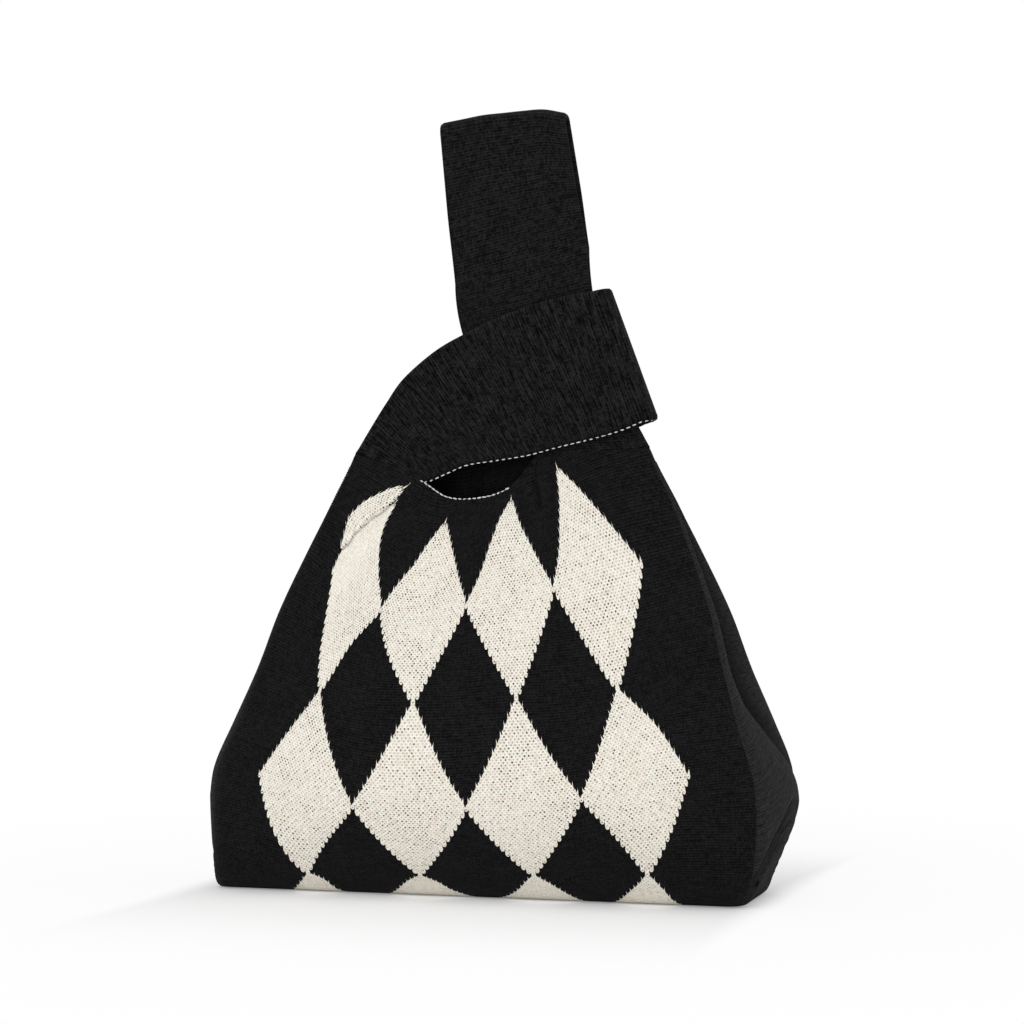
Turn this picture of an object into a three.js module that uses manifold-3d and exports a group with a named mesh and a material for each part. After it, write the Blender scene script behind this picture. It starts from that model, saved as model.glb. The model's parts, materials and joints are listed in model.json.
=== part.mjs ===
// A knitted knot bag: a soft body whose front and back run up into two straps.
// The short strap makes a loop that lies across the long strap and holds the mouth shut.
// Millimetres, +Z up, +X to the right as the patterned front is seen, front towards -Y.
// The origin is on the ground, under the middle of the bag.
import * as THREE from "three";
import { mergeVertices } from "three/addons/utils/BufferGeometryUtils.js";
import Module from "manifold-3d";

const wasm = await Module();
wasm.setup();

// Driving dimensions
const bodyWidth = 246; // side seam to side seam at the belly, outside
const bodyDepth = 88; // front to back at the belly, outside
const bellyHeight = 42; // height where the body is widest
const shoulderHeight = 194; // height where the body has become straps
const footWidth = 234; // the part of the base that lies flat
const footDepth = 36;
const fabric = 3; // thickness of the double knit
const gussetSwell = 7.5; // how far a gusset swells past the side seams
const strapWidth = 60; // the short strap
const handleWidth = 57.5; // the long strap
const loopInset = 2.3; // the short strap's end fold stands this far inside the shoulder's outer edge
const loopTilt = THREE.MathUtils.degToRad(14.3); // rise of the short loop across the bag
const handleLean = THREE.MathUtils.degToRad(5.4); // lean of the long strap to the left
const handleTop = 342; // height of the long strap's end fold
const loopTravel = 14; // how far the short loop slides up the long strap
const mouthDrop = 21.5; // how far the front mouth edge hangs below the shoulders
const backMouthDrop = 4;

// Clearances and small sizes
const seamGap = 0.7; // between a panel's edge and the seam cord beside it
const buttGap = 0.8; // between two knits that meet end to end
const layerGap = 0.4; // between the two layers of the long strap at the knot
const loopGap = 0.5; // between the long strap and the loop round it
const hingeGap = 0.3; // between the standing and the folding stretch of the long strap
const foldRoom = 1.8; // left between the raised loop and the folding stretch
const handGap = 4.5; // between the two layers where the handle stands open
const threadRadius = 0.4;
const threadGap = 1.2;
const knotRadius = 1.4;
const cordRadius = fabric / 2;

// Sizes that follow from them
const halfFabric = fabric / 2;
const halfWidth = bodyWidth / 2 - halfFabric;
const halfDepth = bodyDepth / 2 - halfFabric;
const strapHalf = layerGap / 2 + halfFabric; // middle of a long strap layer from the bag's middle plane
const strapOuter = strapHalf + halfFabric;
const loopHalf = strapOuter + loopGap + halfFabric; // middle of a short loop layer
const handleHalf = handGap / 2 + halfFabric; // middle of a handle layer
const panelEdge = cordRadius + seamGap; // a panel stops this far short of its seam line
const gussetEdge = panelEdge + seamGap / 2; // a gusset stops this far short of its side seams
const threadReach = threadRadius + threadGap;
const bellyShare = 0.3; // share of a wall's rows that lie below the belly

// The body's half width against height, as shares
const wallHeightShares = [0.2165, 0.2835, 0.381, 0.52, 0.63, 0.755, 0.87, 0.98, 1.3];
const wallWidthShares = [1, 0.985, 0.93, 0.85, 0.79, 0.71, 0.64, 0.58, 0.35];
// The back against the front, which is wider low down
const backHeightShares = [0, 0.2, 0.6, 1, 1.5, 2.4];
const backWidthShares = [0.9, 0.915, 0.94, 0.96, 0.98, 1];
// How far a gusset stands out against height, shares of gussetSwell and bellyHeight
const swellHeightShares = [0, 0.15, 0.4, 0.62, 0.85, 1.2, 1.7, 2.3];
const swellShares = [0, -0.35, 0, 0.5, 0.8, 1, 0.5, 0];
// Where a knit column stands across the body, low down and at the mouth
const columnShares = [-1, -0.525, -0.212, 0.212, 0.525, 0.636, 0.93, 1];
const columnTopShares = [-1, -0.475, -0.24, 0.14, 0.34, 0.43, 0.93, 1];
const mouthCornerShare = -0.525; // column where the short strap ends and the mouth begins
const mouthEndShare = 0.525; // column where the mouth ends and the long strap begins
// How far the top edge hangs below the shoulders, as shares of the mouth's drop
const dropColumnShares = [-1, -0.75, -0.525, -0.3, -0.1, 0.12, 0.32, 0.525, 1];
const frontDropShares = [0.1, 0.34, 0.66, 0.93, 1, 0.9, 0.62, 0.2, 0];
const backDropShares = [0.3, 0.6, 0.9, 1, 1, 0.95, 0.75, 0.3, 0];
// The loop's edges in its own tilted frame, shares of loopLength and strapWidth
const loopLowerShares = [
  [0.083, 0.005], [0.119, 0.011], [0.214, 0.036], [0.304, 0.026],
  [0.435, -0.003], [0.614, -0.01], [0.791, -0.016], [0.955, 0.01],
];
const loopBackShares = [
  [0.083, 0.17], [0.119, 0.15], [0.214, 0.11], [0.304, 0.07],
  [0.435, 0.01], [0.614, -0.01], [0.791, -0.01], [0.955, 0.01],
];
const loopUpperShares = [[0.163, 0.915], [0.299, 0.985], [0.493, 1.015], [0.72, 1.02], [0.9, 0.98]];
const loopTopShare = 0.55; // place along the upper edge where it stands highest in the tilted frame
const shoulderBowShare = 0.08; // how far the shoulder's outer edge bows out, a share of strapWidth
// The long strap's middle line: x as a share of handleWidth
const legHeadShare = 0.141;
const legBendPower = 1.9; // how soon the strap has narrowed above the body
// The handle's end line, below its top, as shares of handleWidth
const handleEndShares = [0.1, 0.045, 0.03, 0.015, 0, 0, 0.025];
const handleDomeShare = 0.06; // rise of the end fold
const gussetFoldShare = 0.5; // depth of a gusset's inward fold, as a share of the body's depth there
const gussetTopShare = 0.88; // share of a wall where the gusset has closed
const seamTopShare = 0.96; // and where the side seams end
const seamFootShare = 0.075; // and where they start
const lipApexShare = 0.31; // share of a wall where the base's turned-up end stops in the middle
const lipFootShare = 0.164; // and at the side seams
const threadStartShare = 0.45; // share of the loop's back where its edge stitching begins
const turnShare = 0.15; // share of a strap layer's length that lies in the end fold
const knotHeightShare = 0.14; // share of a wall where the corner knot sits
const cornerShare = 0.92; // depth of a corner against the middle of a panel
const footEdgeShare = 2.3; // a gusset's distance from its side seams at the foot, against gussetEdge
const lipMarginShare = 1.5; // half the gap at the gusset seam, against panelEdge
const threadEndShares = [0.066, 0.131]; // columns between the mouth's ends and its stitching, front and back
const settleShare = 0.2; // share of the standing strap in which its layers close on each other
const openShare = 0.5; // share of the handle in which its layers open
const flareShare = 0.125; // share of the handle in which its cut lower end runs out

const clamp01 = (v) => Math.min(Math.max(v, 0), 1);
const smooth = (v) => clamp01(v) ** 2 * (3 - 2 * clamp01(v));
const lerp = THREE.MathUtils.lerp;

// Value at x of the Catmull-Rom curve through (xs, ys)
function through(xs, ys, x) {
  let i = 0;
  while (i < xs.length - 2 && x > xs[i + 1]) i++;
  const slope = (k) => {
    const a = Math.max(k - 1, 0);
    const b = Math.min(k + 1, xs.length - 1);
    return (ys[b] - ys[a]) / (xs[b] - xs[a]);
  };
  const span = xs[i + 1] - xs[i];
  const t = (x - xs[i]) / span;
  const t2 = t * t;
  const t3 = t2 * t;
  return (2 * t3 - 3 * t2 + 1) * ys[i] + (t3 - 2 * t2 + t) * span * slope(i)
    + (3 * t2 - 2 * t3) * ys[i + 1] + (t3 - t2) * span * slope(i + 1);
}

// Point at share t along a smooth line through [x, z] points
function along(points, t) {
  const knots = points.map((_, i) => i / (points.length - 1));
  return [0, 1].map((k) => through(knots, points.map((p) => p[k]), t));
}

// A closed sheet between an outer and an inner surface, each a function of (u, v) in 0..1
function closedSheet(outer, inner, across, up) {
  const rows = up + 1;
  const layer = (across + 1) * rows;
  const at = (i, j, side) => side * layer + i * rows + j;
  const position = [];
  [outer, inner].forEach((surface) => {
    for (let i = 0; i <= across; i++) {
      for (let j = 0; j <= up; j++) position.push(...surface(i / across, j / up).toArray());
    }
  });
  const index = [];
  const quad = (a, b, c, d) => index.push(a, b, c, a, c, d);
  for (let i = 0; i < across; i++) {
    for (let j = 0; j < up; j++) {
      quad(at(i, j, 0), at(i + 1, j, 0), at(i + 1, j + 1, 0), at(i, j + 1, 0));
      quad(at(i, j, 1), at(i, j + 1, 1), at(i + 1, j + 1, 1), at(i + 1, j, 1));
    }
    quad(at(i, 0, 1), at(i + 1, 0, 1), at(i + 1, 0, 0), at(i, 0, 0));
    quad(at(i, up, 0), at(i + 1, up, 0), at(i + 1, up, 1), at(i, up, 1));
  }
  for (let j = 0; j < up; j++) {
    quad(at(0, j, 0), at(0, j + 1, 0), at(0, j + 1, 1), at(0, j, 1));
    quad(at(across, j, 1), at(across, j + 1, 1), at(across, j + 1, 0), at(across, j, 0));
  }
  const geometry = new THREE.BufferGeometry();
  geometry.setAttribute("position", new THREE.Float32BufferAttribute(position, 3));
  geometry.setIndex(index);
  geometry.computeVertexNormals();
  return geometry;
}

// A knit sheet of the fabric's thickness about a middle surface whose u x v points outwards.
// innerDrop(v) lowers the inner face.
function knitSheet(middle, across, up, innerDrop = () => 0) {
  const step = 1e-3;
  const offset = (u, v, distance) => {
    const du = middle(u + step, v).sub(middle(u - step, v));
    const dv = middle(u, v + step).sub(middle(u, v - step));
    return middle(u, v).addScaledVector(du.cross(dv).normalize(), distance);
  };
  const inner = (u, v) => {
    const point = offset(u, v, -halfFabric);
    return point.setZ(point.z - innerDrop(v));
  };
  return closedSheet((u, v) => offset(u, v, halfFabric), inner, across, up);
}

function toSolid(geometry) {
  const merged = mergeVertices(new THREE.BufferGeometry()
    .setAttribute("position", geometry.getAttribute("position")).setIndex(geometry.index));
  return new wasm.Manifold(new wasm.Mesh({
    numProp: 3,
    vertProperties: merged.getAttribute("position").array,
    triVerts: new Uint32Array(merged.index.array),
  }));
}

// Pieces of one continuous knit, joined
function joined(...geometries) {
  const mesh = wasm.Manifold.union(geometries.map(toSolid)).getMesh();
  const geometry = new THREE.BufferGeometry();
  geometry.setAttribute("position", new THREE.BufferAttribute(new Float32Array(mesh.vertProperties), 3));
  geometry.setIndex(new THREE.BufferAttribute(new Uint32Array(mesh.triVerts), 1));
  geometry.computeVertexNormals();
  return geometry;
}

// A round cord along a list of points
function cordAlong(points, radius, steps, sides = 6) {
  const path = new THREE.CatmullRomCurve3(points);
  const section = new THREE.Shape();
  for (let k = 0; k < sides; k++) {
    const angle = (2 * Math.PI * k) / sides;
    const corner = [radius * Math.cos(angle), radius * Math.sin(angle)];
    if (k === 0) section.moveTo(...corner);
    else section.lineTo(...corner);
  }
  return new THREE.ExtrudeGeometry(section, { extrudePath: path, steps, curveSegments: 1 });
}

const samples = (count, point) => Array.from({ length: count + 1 }, (_, i) => point(i / count));

const alongLoop = new THREE.Vector3(Math.cos(loopTilt), 0, Math.sin(loopTilt));
const acrossLoop = new THREE.Vector3(-Math.sin(loopTilt), 0, Math.cos(loopTilt));
const sides = [["front", -1], ["back", 1]];
const ends = [["left", -1], ["right", 1]];
const clampColumn = (s) => THREE.MathUtils.clamp(s, -1, 1);

// The body's wall at share q up a column that ends at height top; back is 0 at the front, 1 at the back
function wall(q, top = shoulderHeight, back = 0) {
  const curl = Math.sin((clamp01(q / bellyShare) * Math.PI) / 2);
  const rise = Math.max((q - bellyShare) / (1 - bellyShare), 0);
  const low = lerp(bellyHeight, halfFabric, Math.sqrt(1 - curl * curl));
  const z = rise > 0 ? lerp(bellyHeight, top, rise) : low;
  const high = (bodyWidth / 2) * through(wallHeightShares, wallWidthShares, z / shoulderHeight) - halfFabric;
  const width = rise > 0 ? high : lerp(footWidth / 2, halfWidth, Math.sqrt(curl));
  const height = Math.min(z / bellyHeight, backHeightShares.at(-1));
  const narrowed = width * lerp(1, through(backHeightShares, backWidthShares, height), back);
  return { z, width: narrowed, depth: lerp(footDepth / 2, halfDepth, curl), curl, rise };
}

// Front or back: the shares of its top edge's drop and the drop
const topDrop = (side) => (side < 0 ? [frontDropShares, mouthDrop] : [backDropShares, backMouthDrop]);

function topHeight(s, side) {
  const [shares, drop] = topDrop(side);
  return shoulderHeight - drop * through(dropColumnShares, shares, clampColumn(s));
}

const leanEnd = shoulderHeight - backMouthDrop; // height where the layers have come together

// Distance of a panel from the bag's middle plane: deep at the belly, two strap layers at the knot
function panelDepth(s, place) {
  const lean = clamp01((place.z - bellyHeight) / (leanEnd - bellyHeight));
  const crown = lerp(1, cornerShare + (1 - cornerShare) * (1 - s ** 4), place.curl);
  const knot = lerp(loopHalf, strapHalf, smooth((s - mouthCornerShare) / (mouthEndShare - mouthCornerShare)));
  return lerp(place.depth * crown, knot, lean);
}

// A point of the front (side -1) or back (side 1) panel: column s in -1..1, share q up
function panelPoint(s, q, side) {
  const place = wall(q, topHeight(s, side), side < 0 ? 0 : 1);
  const gathered = through(columnShares, columnTopShares, s);
  const x = place.width * lerp(s, gathered, smooth(place.rise));
  return new THREE.Vector3(x, side * panelDepth(s, place), place.z);
}

// Share up a path at which it has come clear of the seam where it starts
function clearOf(path, reach = panelEdge) {
  const seam = path(0);
  let low = 0;
  let high = bellyShare;
  for (let k = 0; k < 20; k++) {
    const middle = (low + high) / 2;
    if (path(middle).distanceTo(seam) < reach) low = middle;
    else high = middle;
  }
  return high;
}

function bodyPanel(side) {
  const start = clearOf((q) => panelPoint(0, q, side));
  return knitSheet((u, v) => {
    const q = lerp(start, 1, v);
    const limit = 1 - panelEdge / wall(q, topHeight(1, side), 1).width;
    return panelPoint(side * lerp(limit, -limit, u), q, side);
  }, 20, 20);
}

// A gusset joins front and back: it folds in above the belly and swells out at the belly
function gussetPoint(endX, c, q) {
  const place = wall(q, shoulderHeight, (1 + endX * c) / 2);
  const depth = panelDepth(endX, place);
  const height = place.z / bellyHeight;
  const swellHeight = Math.min(height, swellHeightShares.at(-1));
  const swell = gussetSwell * through(swellHeightShares, swellShares, swellHeight);
  const fold = gussetFoldShare * depth * smooth((height - swellHeightShares.at(-3)) / 2);
  const bow = 1 - c * c;
  return new THREE.Vector3(endX * (place.width + bow * (swell - bow * fold)), endX * c * depth, place.z);
}

// Column u in 0..1 across the gusset, which stops short of both seams
function gussetColumn(endX, u, q) {
  const place = wall(q);
  const short = gussetEdge * lerp(footEdgeShare, 1, place.curl);
  return lerp(-1, 1, u) * (1 - short / panelDepth(endX, place));
}

// Where the base's turned-up end meets the gusset
const lipSeam = (u) => lerp(lipFootShare, lipApexShare, Math.sin(Math.PI * clamp01(u)));
const lipMargin = (lipMarginShare * bellyShare * panelEdge) / bellyHeight;

function gusset(endX) {
  return knitSheet((u, v) => {
    const q = lerp(lipSeam(u) + lipMargin, gussetTopShare, v);
    return gussetPoint(endX, gussetColumn(endX, u, q), q);
  }, 10, 16);
}

// The base: a flat foot whose two ends turn up to meet the gussets
function basePanel() {
  const halfX = (v) => (footWidth / 2) * lerp(1, backWidthShares[0], v) + halfFabric;
  const halfY = footDepth / 2 - panelEdge;
  const foot = knitSheet((u, v) =>
    new THREE.Vector3(lerp(halfX(v), -halfX(v), u), lerp(-halfY, halfY, v), halfFabric), 12, 4);
  const lips = ends.map(([, endX]) => knitSheet((u, v) => {
    const q = lerp(0, lipSeam(u) - lipMargin, v);
    return gussetPoint(endX, gussetColumn(endX, u, q), q);
  }, 10, 8));
  return joined(foot, ...lips);
}

// Seam cords: four up the sides, one round each end of the base and two along it
function sideSeam(endX, side) {
  const back = side < 0 ? 0 : 1;
  return cordAlong(samples(24, (t) => {
    const place = wall(lerp(seamFootShare, seamTopShare, t), shoulderHeight, back);
    return new THREE.Vector3(endX * place.width, side * panelDepth(endX, place), place.z);
  }), cordRadius, 30);
}

function gussetSeam(endX) {
  const seamMargin = seamGap / footDepth;
  return cordAlong(samples(16, (u) => {
    const q = lipSeam(u);
    return gussetPoint(endX, gussetColumn(endX, lerp(seamMargin, 1 - seamMargin, u), q), q);
  }), cordRadius, 20);
}

function baseSeam(side) {
  const half = (footWidth / 2) * (side < 0 ? 1 : backWidthShares[0]) - panelEdge;
  const points = [-1, 0, 1].map((k) => new THREE.Vector3(k * half, (side * footDepth) / 2, cordRadius));
  return cordAlong(points, cordRadius, 8, 8);
}

// The short loop lies in a tilted frame whose origin is the left corner of the mouth
const corner = panelPoint(mouthCornerShare, 1, -1);
const loopOrigin = new THREE.Vector3(corner.x, 0, corner.z + buttGap);
const loopLength = (wall(1).width - loopInset - loopOrigin.x) / Math.cos(loopTilt);

function loopEdge(shares, t) {
  const [run, rise] = along(shares, t);
  return loopOrigin.clone()
    .addScaledVector(alongLoop, run * loopLength)
    .addScaledVector(acrossLoop, rise * strapWidth);
}

// Middle surface of a loop layer: t along it from the shoulder, c across from the lower edge
function loopPoint(side, t, c) {
  const low = loopEdge(side < 0 ? loopLowerShares : loopBackShares, t);
  const point = low.lerp(loopEdge(loopUpperShares, t), c);
  point.y = side * loopHalf;
  return point;
}

// A point round the loop's end, turned half a circle from the front layer to the back
function loopTurn(share, c) {
  const turn = share * Math.PI;
  const point = loopPoint(-1, 1, c).lerp(loopPoint(1, 1, c), share);
  point.y = -loopHalf * Math.cos(turn);
  return point.addScaledVector(alongLoop, loopHalf * Math.sin(turn));
}

// Half of the loop: a flat layer and a quarter of the end fold, up to the seam in the fold's middle
function loopLayer(side) {
  const half = 1 / 2 - buttGap / 2 / (Math.PI * loopHalf);
  return knitSheet((u, v) => {
    const run = side < 0 ? u : 1 - u;
    if (run <= 1 - turnShare) return loopPoint(side, run / (1 - turnShare), v);
    const share = (half * (run - 1 + turnShare)) / turnShare;
    return loopTurn(side < 0 ? share : 1 - share, v);
  }, 20, 6);
}

// The shoulder carries the short strap from the body's left up to the loop.
// Its upper end is cut along the long strap's lean, the way the loop slides.
function shoulderPoint(side, c, v) {
  const reach = panelEdge / wall(1, topHeight(-1, side)).width;
  const foot = panelPoint(lerp(mouthCornerShare, reach - 1, c), 1, side);
  foot.z -= halfFabric;
  const head = loopPoint(side, 0, c);
  head.x -= buttGap;
  const bow = strapWidth * shoulderBowShare * clamp01(c) * Math.sin(Math.PI * clamp01(v));
  return foot.lerp(head, v).addScaledVector(acrossLoop, bow);
}

const shoulder = (side) => knitSheet((u, v) => shoulderPoint(side, side < 0 ? 1 - u : u, v), 8, 8);

// The long strap folds on a line above the loop, clear of it when the loop is pushed up
const foldLift = loopTravel + strapOuter + foldRoom;
const foldLine = loopEdge(loopUpperShares, loopTopShare).addScaledVector(acrossLoop, foldLift);
const foldHeight = (x) => foldLine.z + (x - foldLine.x) * Math.tan(loopTilt);
const legHeadX = (c) => handleWidth * (legHeadShare + c - 1 / 2);

// Standing stretch of the long strap: c across from its left edge, v from the body to the fold line
function legPoint(side, c, v) {
  const reach = panelEdge / wall(1, topHeight(1, side)).width;
  const foot = panelPoint(lerp(mouthEndShare, 1 - reach, c), 1, side);
  const x = lerp(foot.x, legHeadX(c), 1 - (1 - clamp01(v)) ** legBendPower);
  const top = foldHeight(x) - (strapOuter + hingeGap) / Math.cos(loopTilt);
  const y = side * lerp(Math.abs(foot.y), strapHalf, smooth(v / settleShare));
  return new THREE.Vector3(x, y, lerp(foot.z - halfFabric, top, v));
}

const strapLeg = (side) => knitSheet((u, v) => legPoint(side, side < 0 ? u : 1 - u, v), 6, 12);

// Front or back: one knit, from the base up into the short strap on its left and the long one on its right
const knitFace = (side) => joined(bodyPanel(side), shoulder(side), strapLeg(side));

const handleColumns = handleEndShares.map((_, i) => i / (handleEndShares.length - 1));

// Folding stretch of the long strap: where its flat layers end and the end fold begins
function handleEnd(c) {
  const below = handleDomeShare + through(handleColumns, handleEndShares, clamp01(c));
  const z = handleTop - halfFabric - handleWidth * below;
  const x = legHeadX(c);
  return new THREE.Vector3(x - (z - foldHeight(x)) * Math.tan(handleLean), 0, z);
}

// Half of the handle: it rises from the fold line, opens into a hand loop and turns over the end fold
function handlePoint(side, c, v) {
  const x = legHeadX(c);
  const end = handleEnd(c);
  const run = v / (1 - turnShare);
  if (run <= 1) {
    const y = side * lerp(strapHalf, handleHalf, smooth(run / openShare));
    return new THREE.Vector3(lerp(x, end.x, run), y, lerp(foldHeight(x), end.z, run));
  }
  const half = 1 - buttGap / (Math.PI * handleHalf);
  const turn = ((half * Math.PI) / 2) * ((v - 1 + turnShare) / turnShare);
  const rise = handleWidth * handleDomeShare * Math.sin(turn);
  return end.set(end.x - rise * Math.tan(handleLean), side * handleHalf * Math.cos(turn), end.z + rise);
}

// The inner face starts lower than the outer one, inside the circle that the lower end turns on
function handleLayer(side) {
  const drop = Math.sqrt(strapOuter ** 2 - (layerGap / 2) ** 2) / Math.cos(loopTilt);
  const lowered = (v) => drop * (1 - clamp01(v / flareShare));
  return knitSheet((u, v) => handlePoint(side, side < 0 ? u : 1 - u, v), 6, 20, lowered);
}

// Edge threads: white stitching along the mouth and along the loop's lower edge
function mouthThread(side) {
  const margin = threadEndShares[side < 0 ? 0 : 1];
  return cordAlong(samples(20, (t) => {
    const point = panelPoint(lerp(mouthCornerShare + margin, mouthEndShare - margin, t), 1, side);
    point.z += threadReach;
    return point;
  }), threadRadius, 26);
}

function loopThread() {
  const under = (point) => point.addScaledVector(acrossLoop, -threadReach);
  const edge = (side, from) => samples(12, (t) => under(loopPoint(side, lerp(from, 1, t), 0)));
  const turn = [0.25, 0.5, 0.75].map((share) => under(loopTurn(share, 0)));
  return cordAlong([...edge(-1, 0), ...turn, ...edge(1, threadStartShare).reverse()], threadRadius, 56);
}

// The knot that ends the stitching at the right front corner
function cornerKnot() {
  const place = wall(knotHeightShare);
  const away = new THREE.Vector3(1, -1, 0).setLength(cordRadius + knotRadius + seamGap);
  const knot = new THREE.SphereGeometry(knotRadius, 10, 8);
  knot.translate(place.width + away.x, away.y - panelDepth(1, place), place.z);
  return knot;
}

const blackKnit = () => new THREE.MeshStandardMaterial({ color: 0x1b1b1c, roughness: 0.95, metalness: 0 });
const blackYarn = () => new THREE.MeshStandardMaterial({ color: 0x232324, roughness: 0.9, metalness: 0 });
const whiteThread = () => new THREE.MeshStandardMaterial({ color: 0xe8e4da, roughness: 0.8, metalness: 0 });

const bag = new THREE.Group();

function add(name, geometry, material) {
  const mesh = new THREE.Mesh(geometry, material);
  mesh.name = name;
  bag.add(mesh);
}

add("base_panel", basePanel(), blackKnit());
ends.forEach(([name, endX]) => {
  add(`${name}_gusset`, gusset(endX), blackKnit());
  add(`gusset_seam_${name}`, gussetSeam(endX), blackYarn());
  sides.forEach(([face, side]) => add(`side_seam_${face}_${name}`, sideSeam(endX, side), blackYarn()));
});
sides.forEach(([name, side]) => {
  add(`${name}_panel`, knitFace(side), blackKnit());
  add(`base_seam_${name}`, baseSeam(side), blackYarn());
  add(`mouth_thread_${name}`, mouthThread(side), whiteThread());
  add(`short_loop_${name}`, loopLayer(side), blackKnit());
  add(`handle_${name}`, handleLayer(side), blackKnit());
});
add("short_loop_thread", loopThread(), whiteThread());
add("corner_knot", cornerKnot(), blackYarn());

export default bag;
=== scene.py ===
"""A knitted knot bag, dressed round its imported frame."""

import json
import math

import bpy
import numpy as np
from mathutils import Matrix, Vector

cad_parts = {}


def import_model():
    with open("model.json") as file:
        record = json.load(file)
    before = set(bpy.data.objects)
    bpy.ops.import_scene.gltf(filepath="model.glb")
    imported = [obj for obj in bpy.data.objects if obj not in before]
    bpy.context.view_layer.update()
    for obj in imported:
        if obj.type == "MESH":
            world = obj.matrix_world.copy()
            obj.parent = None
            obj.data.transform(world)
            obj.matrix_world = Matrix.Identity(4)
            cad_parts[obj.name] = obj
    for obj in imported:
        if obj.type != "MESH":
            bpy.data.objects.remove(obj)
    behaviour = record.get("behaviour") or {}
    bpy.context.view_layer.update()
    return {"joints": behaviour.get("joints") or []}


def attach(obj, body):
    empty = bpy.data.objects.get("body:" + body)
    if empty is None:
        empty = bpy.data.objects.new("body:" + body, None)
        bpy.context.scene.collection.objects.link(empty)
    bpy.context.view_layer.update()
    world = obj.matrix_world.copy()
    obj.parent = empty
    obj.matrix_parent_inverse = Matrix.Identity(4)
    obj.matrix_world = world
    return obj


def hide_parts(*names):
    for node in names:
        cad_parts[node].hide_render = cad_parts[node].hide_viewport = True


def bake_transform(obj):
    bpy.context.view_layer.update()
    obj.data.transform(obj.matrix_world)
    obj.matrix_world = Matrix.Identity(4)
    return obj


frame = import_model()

# Driving sizes, in millimetres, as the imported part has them
MM = 0.001
BODY_WIDTH, BODY_DEPTH = 248.0, 88.0
BELLY_HEIGHT, SHOULDER_HEIGHT = 42.0, 194.0
FOOT_WIDTH, FOOT_DEPTH = 233.0, 42.0
# The soft bag stands a little askew: how far its foot and its top lie to the left
FOOT_SHIFT, TOP_SHIFT = -8.6, -0.6
FABRIC = 3.0
HALF = FABRIC / 2
GUSSET_SWELL = 7.5
STRAP_WIDTH, HANDLE_WIDTH = 60.0, 57.5
LOOP_TILT, HANDLE_LEAN = math.radians(14.3), math.radians(5.4)
HANDLE_TOP = 342.0
FRONT, BACK = -1, 1
MOUTH_DROP = {FRONT: 22.8, BACK: 4.0}  # how far the mouth's edges hang
LAYER_GAP, LOOP_GAP, HAND_GAP = 0.4, 0.5, 4.5
STRAP_HALF = LAYER_GAP / 2 + HALF
LOOP_HALF = STRAP_HALF + HALF + LOOP_GAP + HALF
HANDLE_HALF = HAND_GAP / 2 + HALF
HALF_WIDTH = BODY_WIDTH / 2 - HALF
HALF_DEPTH = BODY_DEPTH / 2 - HALF
BELLY_SHARE = 0.3  # of the wall: the part that curls from the foot up to the belly

# The flat knit: one diamond, and the tooth cells and stitches in it
DIAMOND_WIDTH, DIAMOND_HEIGHT = 50.0, 91.0
CELLS = 26
WALES_PER_CELL, COURSES_PER_CELL = 2, 3

# Shares that shape the body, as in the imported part
WALL_HEIGHTS = [0.2165, 0.2835, 0.381, 0.52, 0.63, 0.755, 0.87, 0.98, 1.3]
WALL_WIDTHS = [1, 0.985, 0.928, 0.853, 0.8, 0.719, 0.638, 0.551, 0.35]
BACK_HEIGHTS = [0, 0.2, 0.6, 1, 1.5, 2.4]
BACK_WIDTHS = [1.0, 0.966, 0.972, 0.985, 0.995, 1]
SWELL_HEIGHTS = [0, 0.15, 0.4, 0.62, 0.85, 1.2, 1.7, 2.3]
SWELLS = [0, 0, 0.2, 0.55, 0.85, 1, 0.75, 0]
COLUMNS = [-1, -0.525, -0.212, 0.212, 0.525, 0.636, 0.93, 1]
COLUMN_TOPS = [-1, -0.49, -0.26, 0.08, 0.26, 0.375, 0.92, 1]
MOUTH_CORNER, MOUTH_END = -0.525, 0.525
DROP_COLUMNS = [-1, -0.75, -0.525, -0.3, -0.1, 0.12, 0.32, 0.525, 1]
DROPS = {
    FRONT: [0.1, 0.34, 0.66, 0.95, 1, 0.87, 0.53, 0.17, 0],
    BACK: [0.3, 0.6, 0.9, 1, 1, 0.95, 0.75, 0.3, 0],
}
CORNER_SHARE = 0.92
GUSSET_TOP = 0.97
LIP_APEX, LIP_FOOT = 0.31, 0.164
LEG_HEAD, LEG_BEND = 0.141, 1.9
HANDLE_ENDS = [0.058, 0.034, 0.01, 0, -0.01, -0.014, 0.018]
HANDLE_DOME = 0.06
HANDLE_TAPER = 4.0  # how much narrower the top of the handle is
TURN_SHARE = 0.15

# The camera, at the picture's viewing angle
VIEW_ANGLE = math.radians(17)
VIEW_DISTANCE = 1300.0
VIEW_HEIGHT, VIEW_SIDE = 166.6, 3.4
LENS, SENSOR = 104.0, 36.0
PICTURE = 1024
FOCAL_PIXELS = LENS / SENSOR * PICTURE

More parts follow.
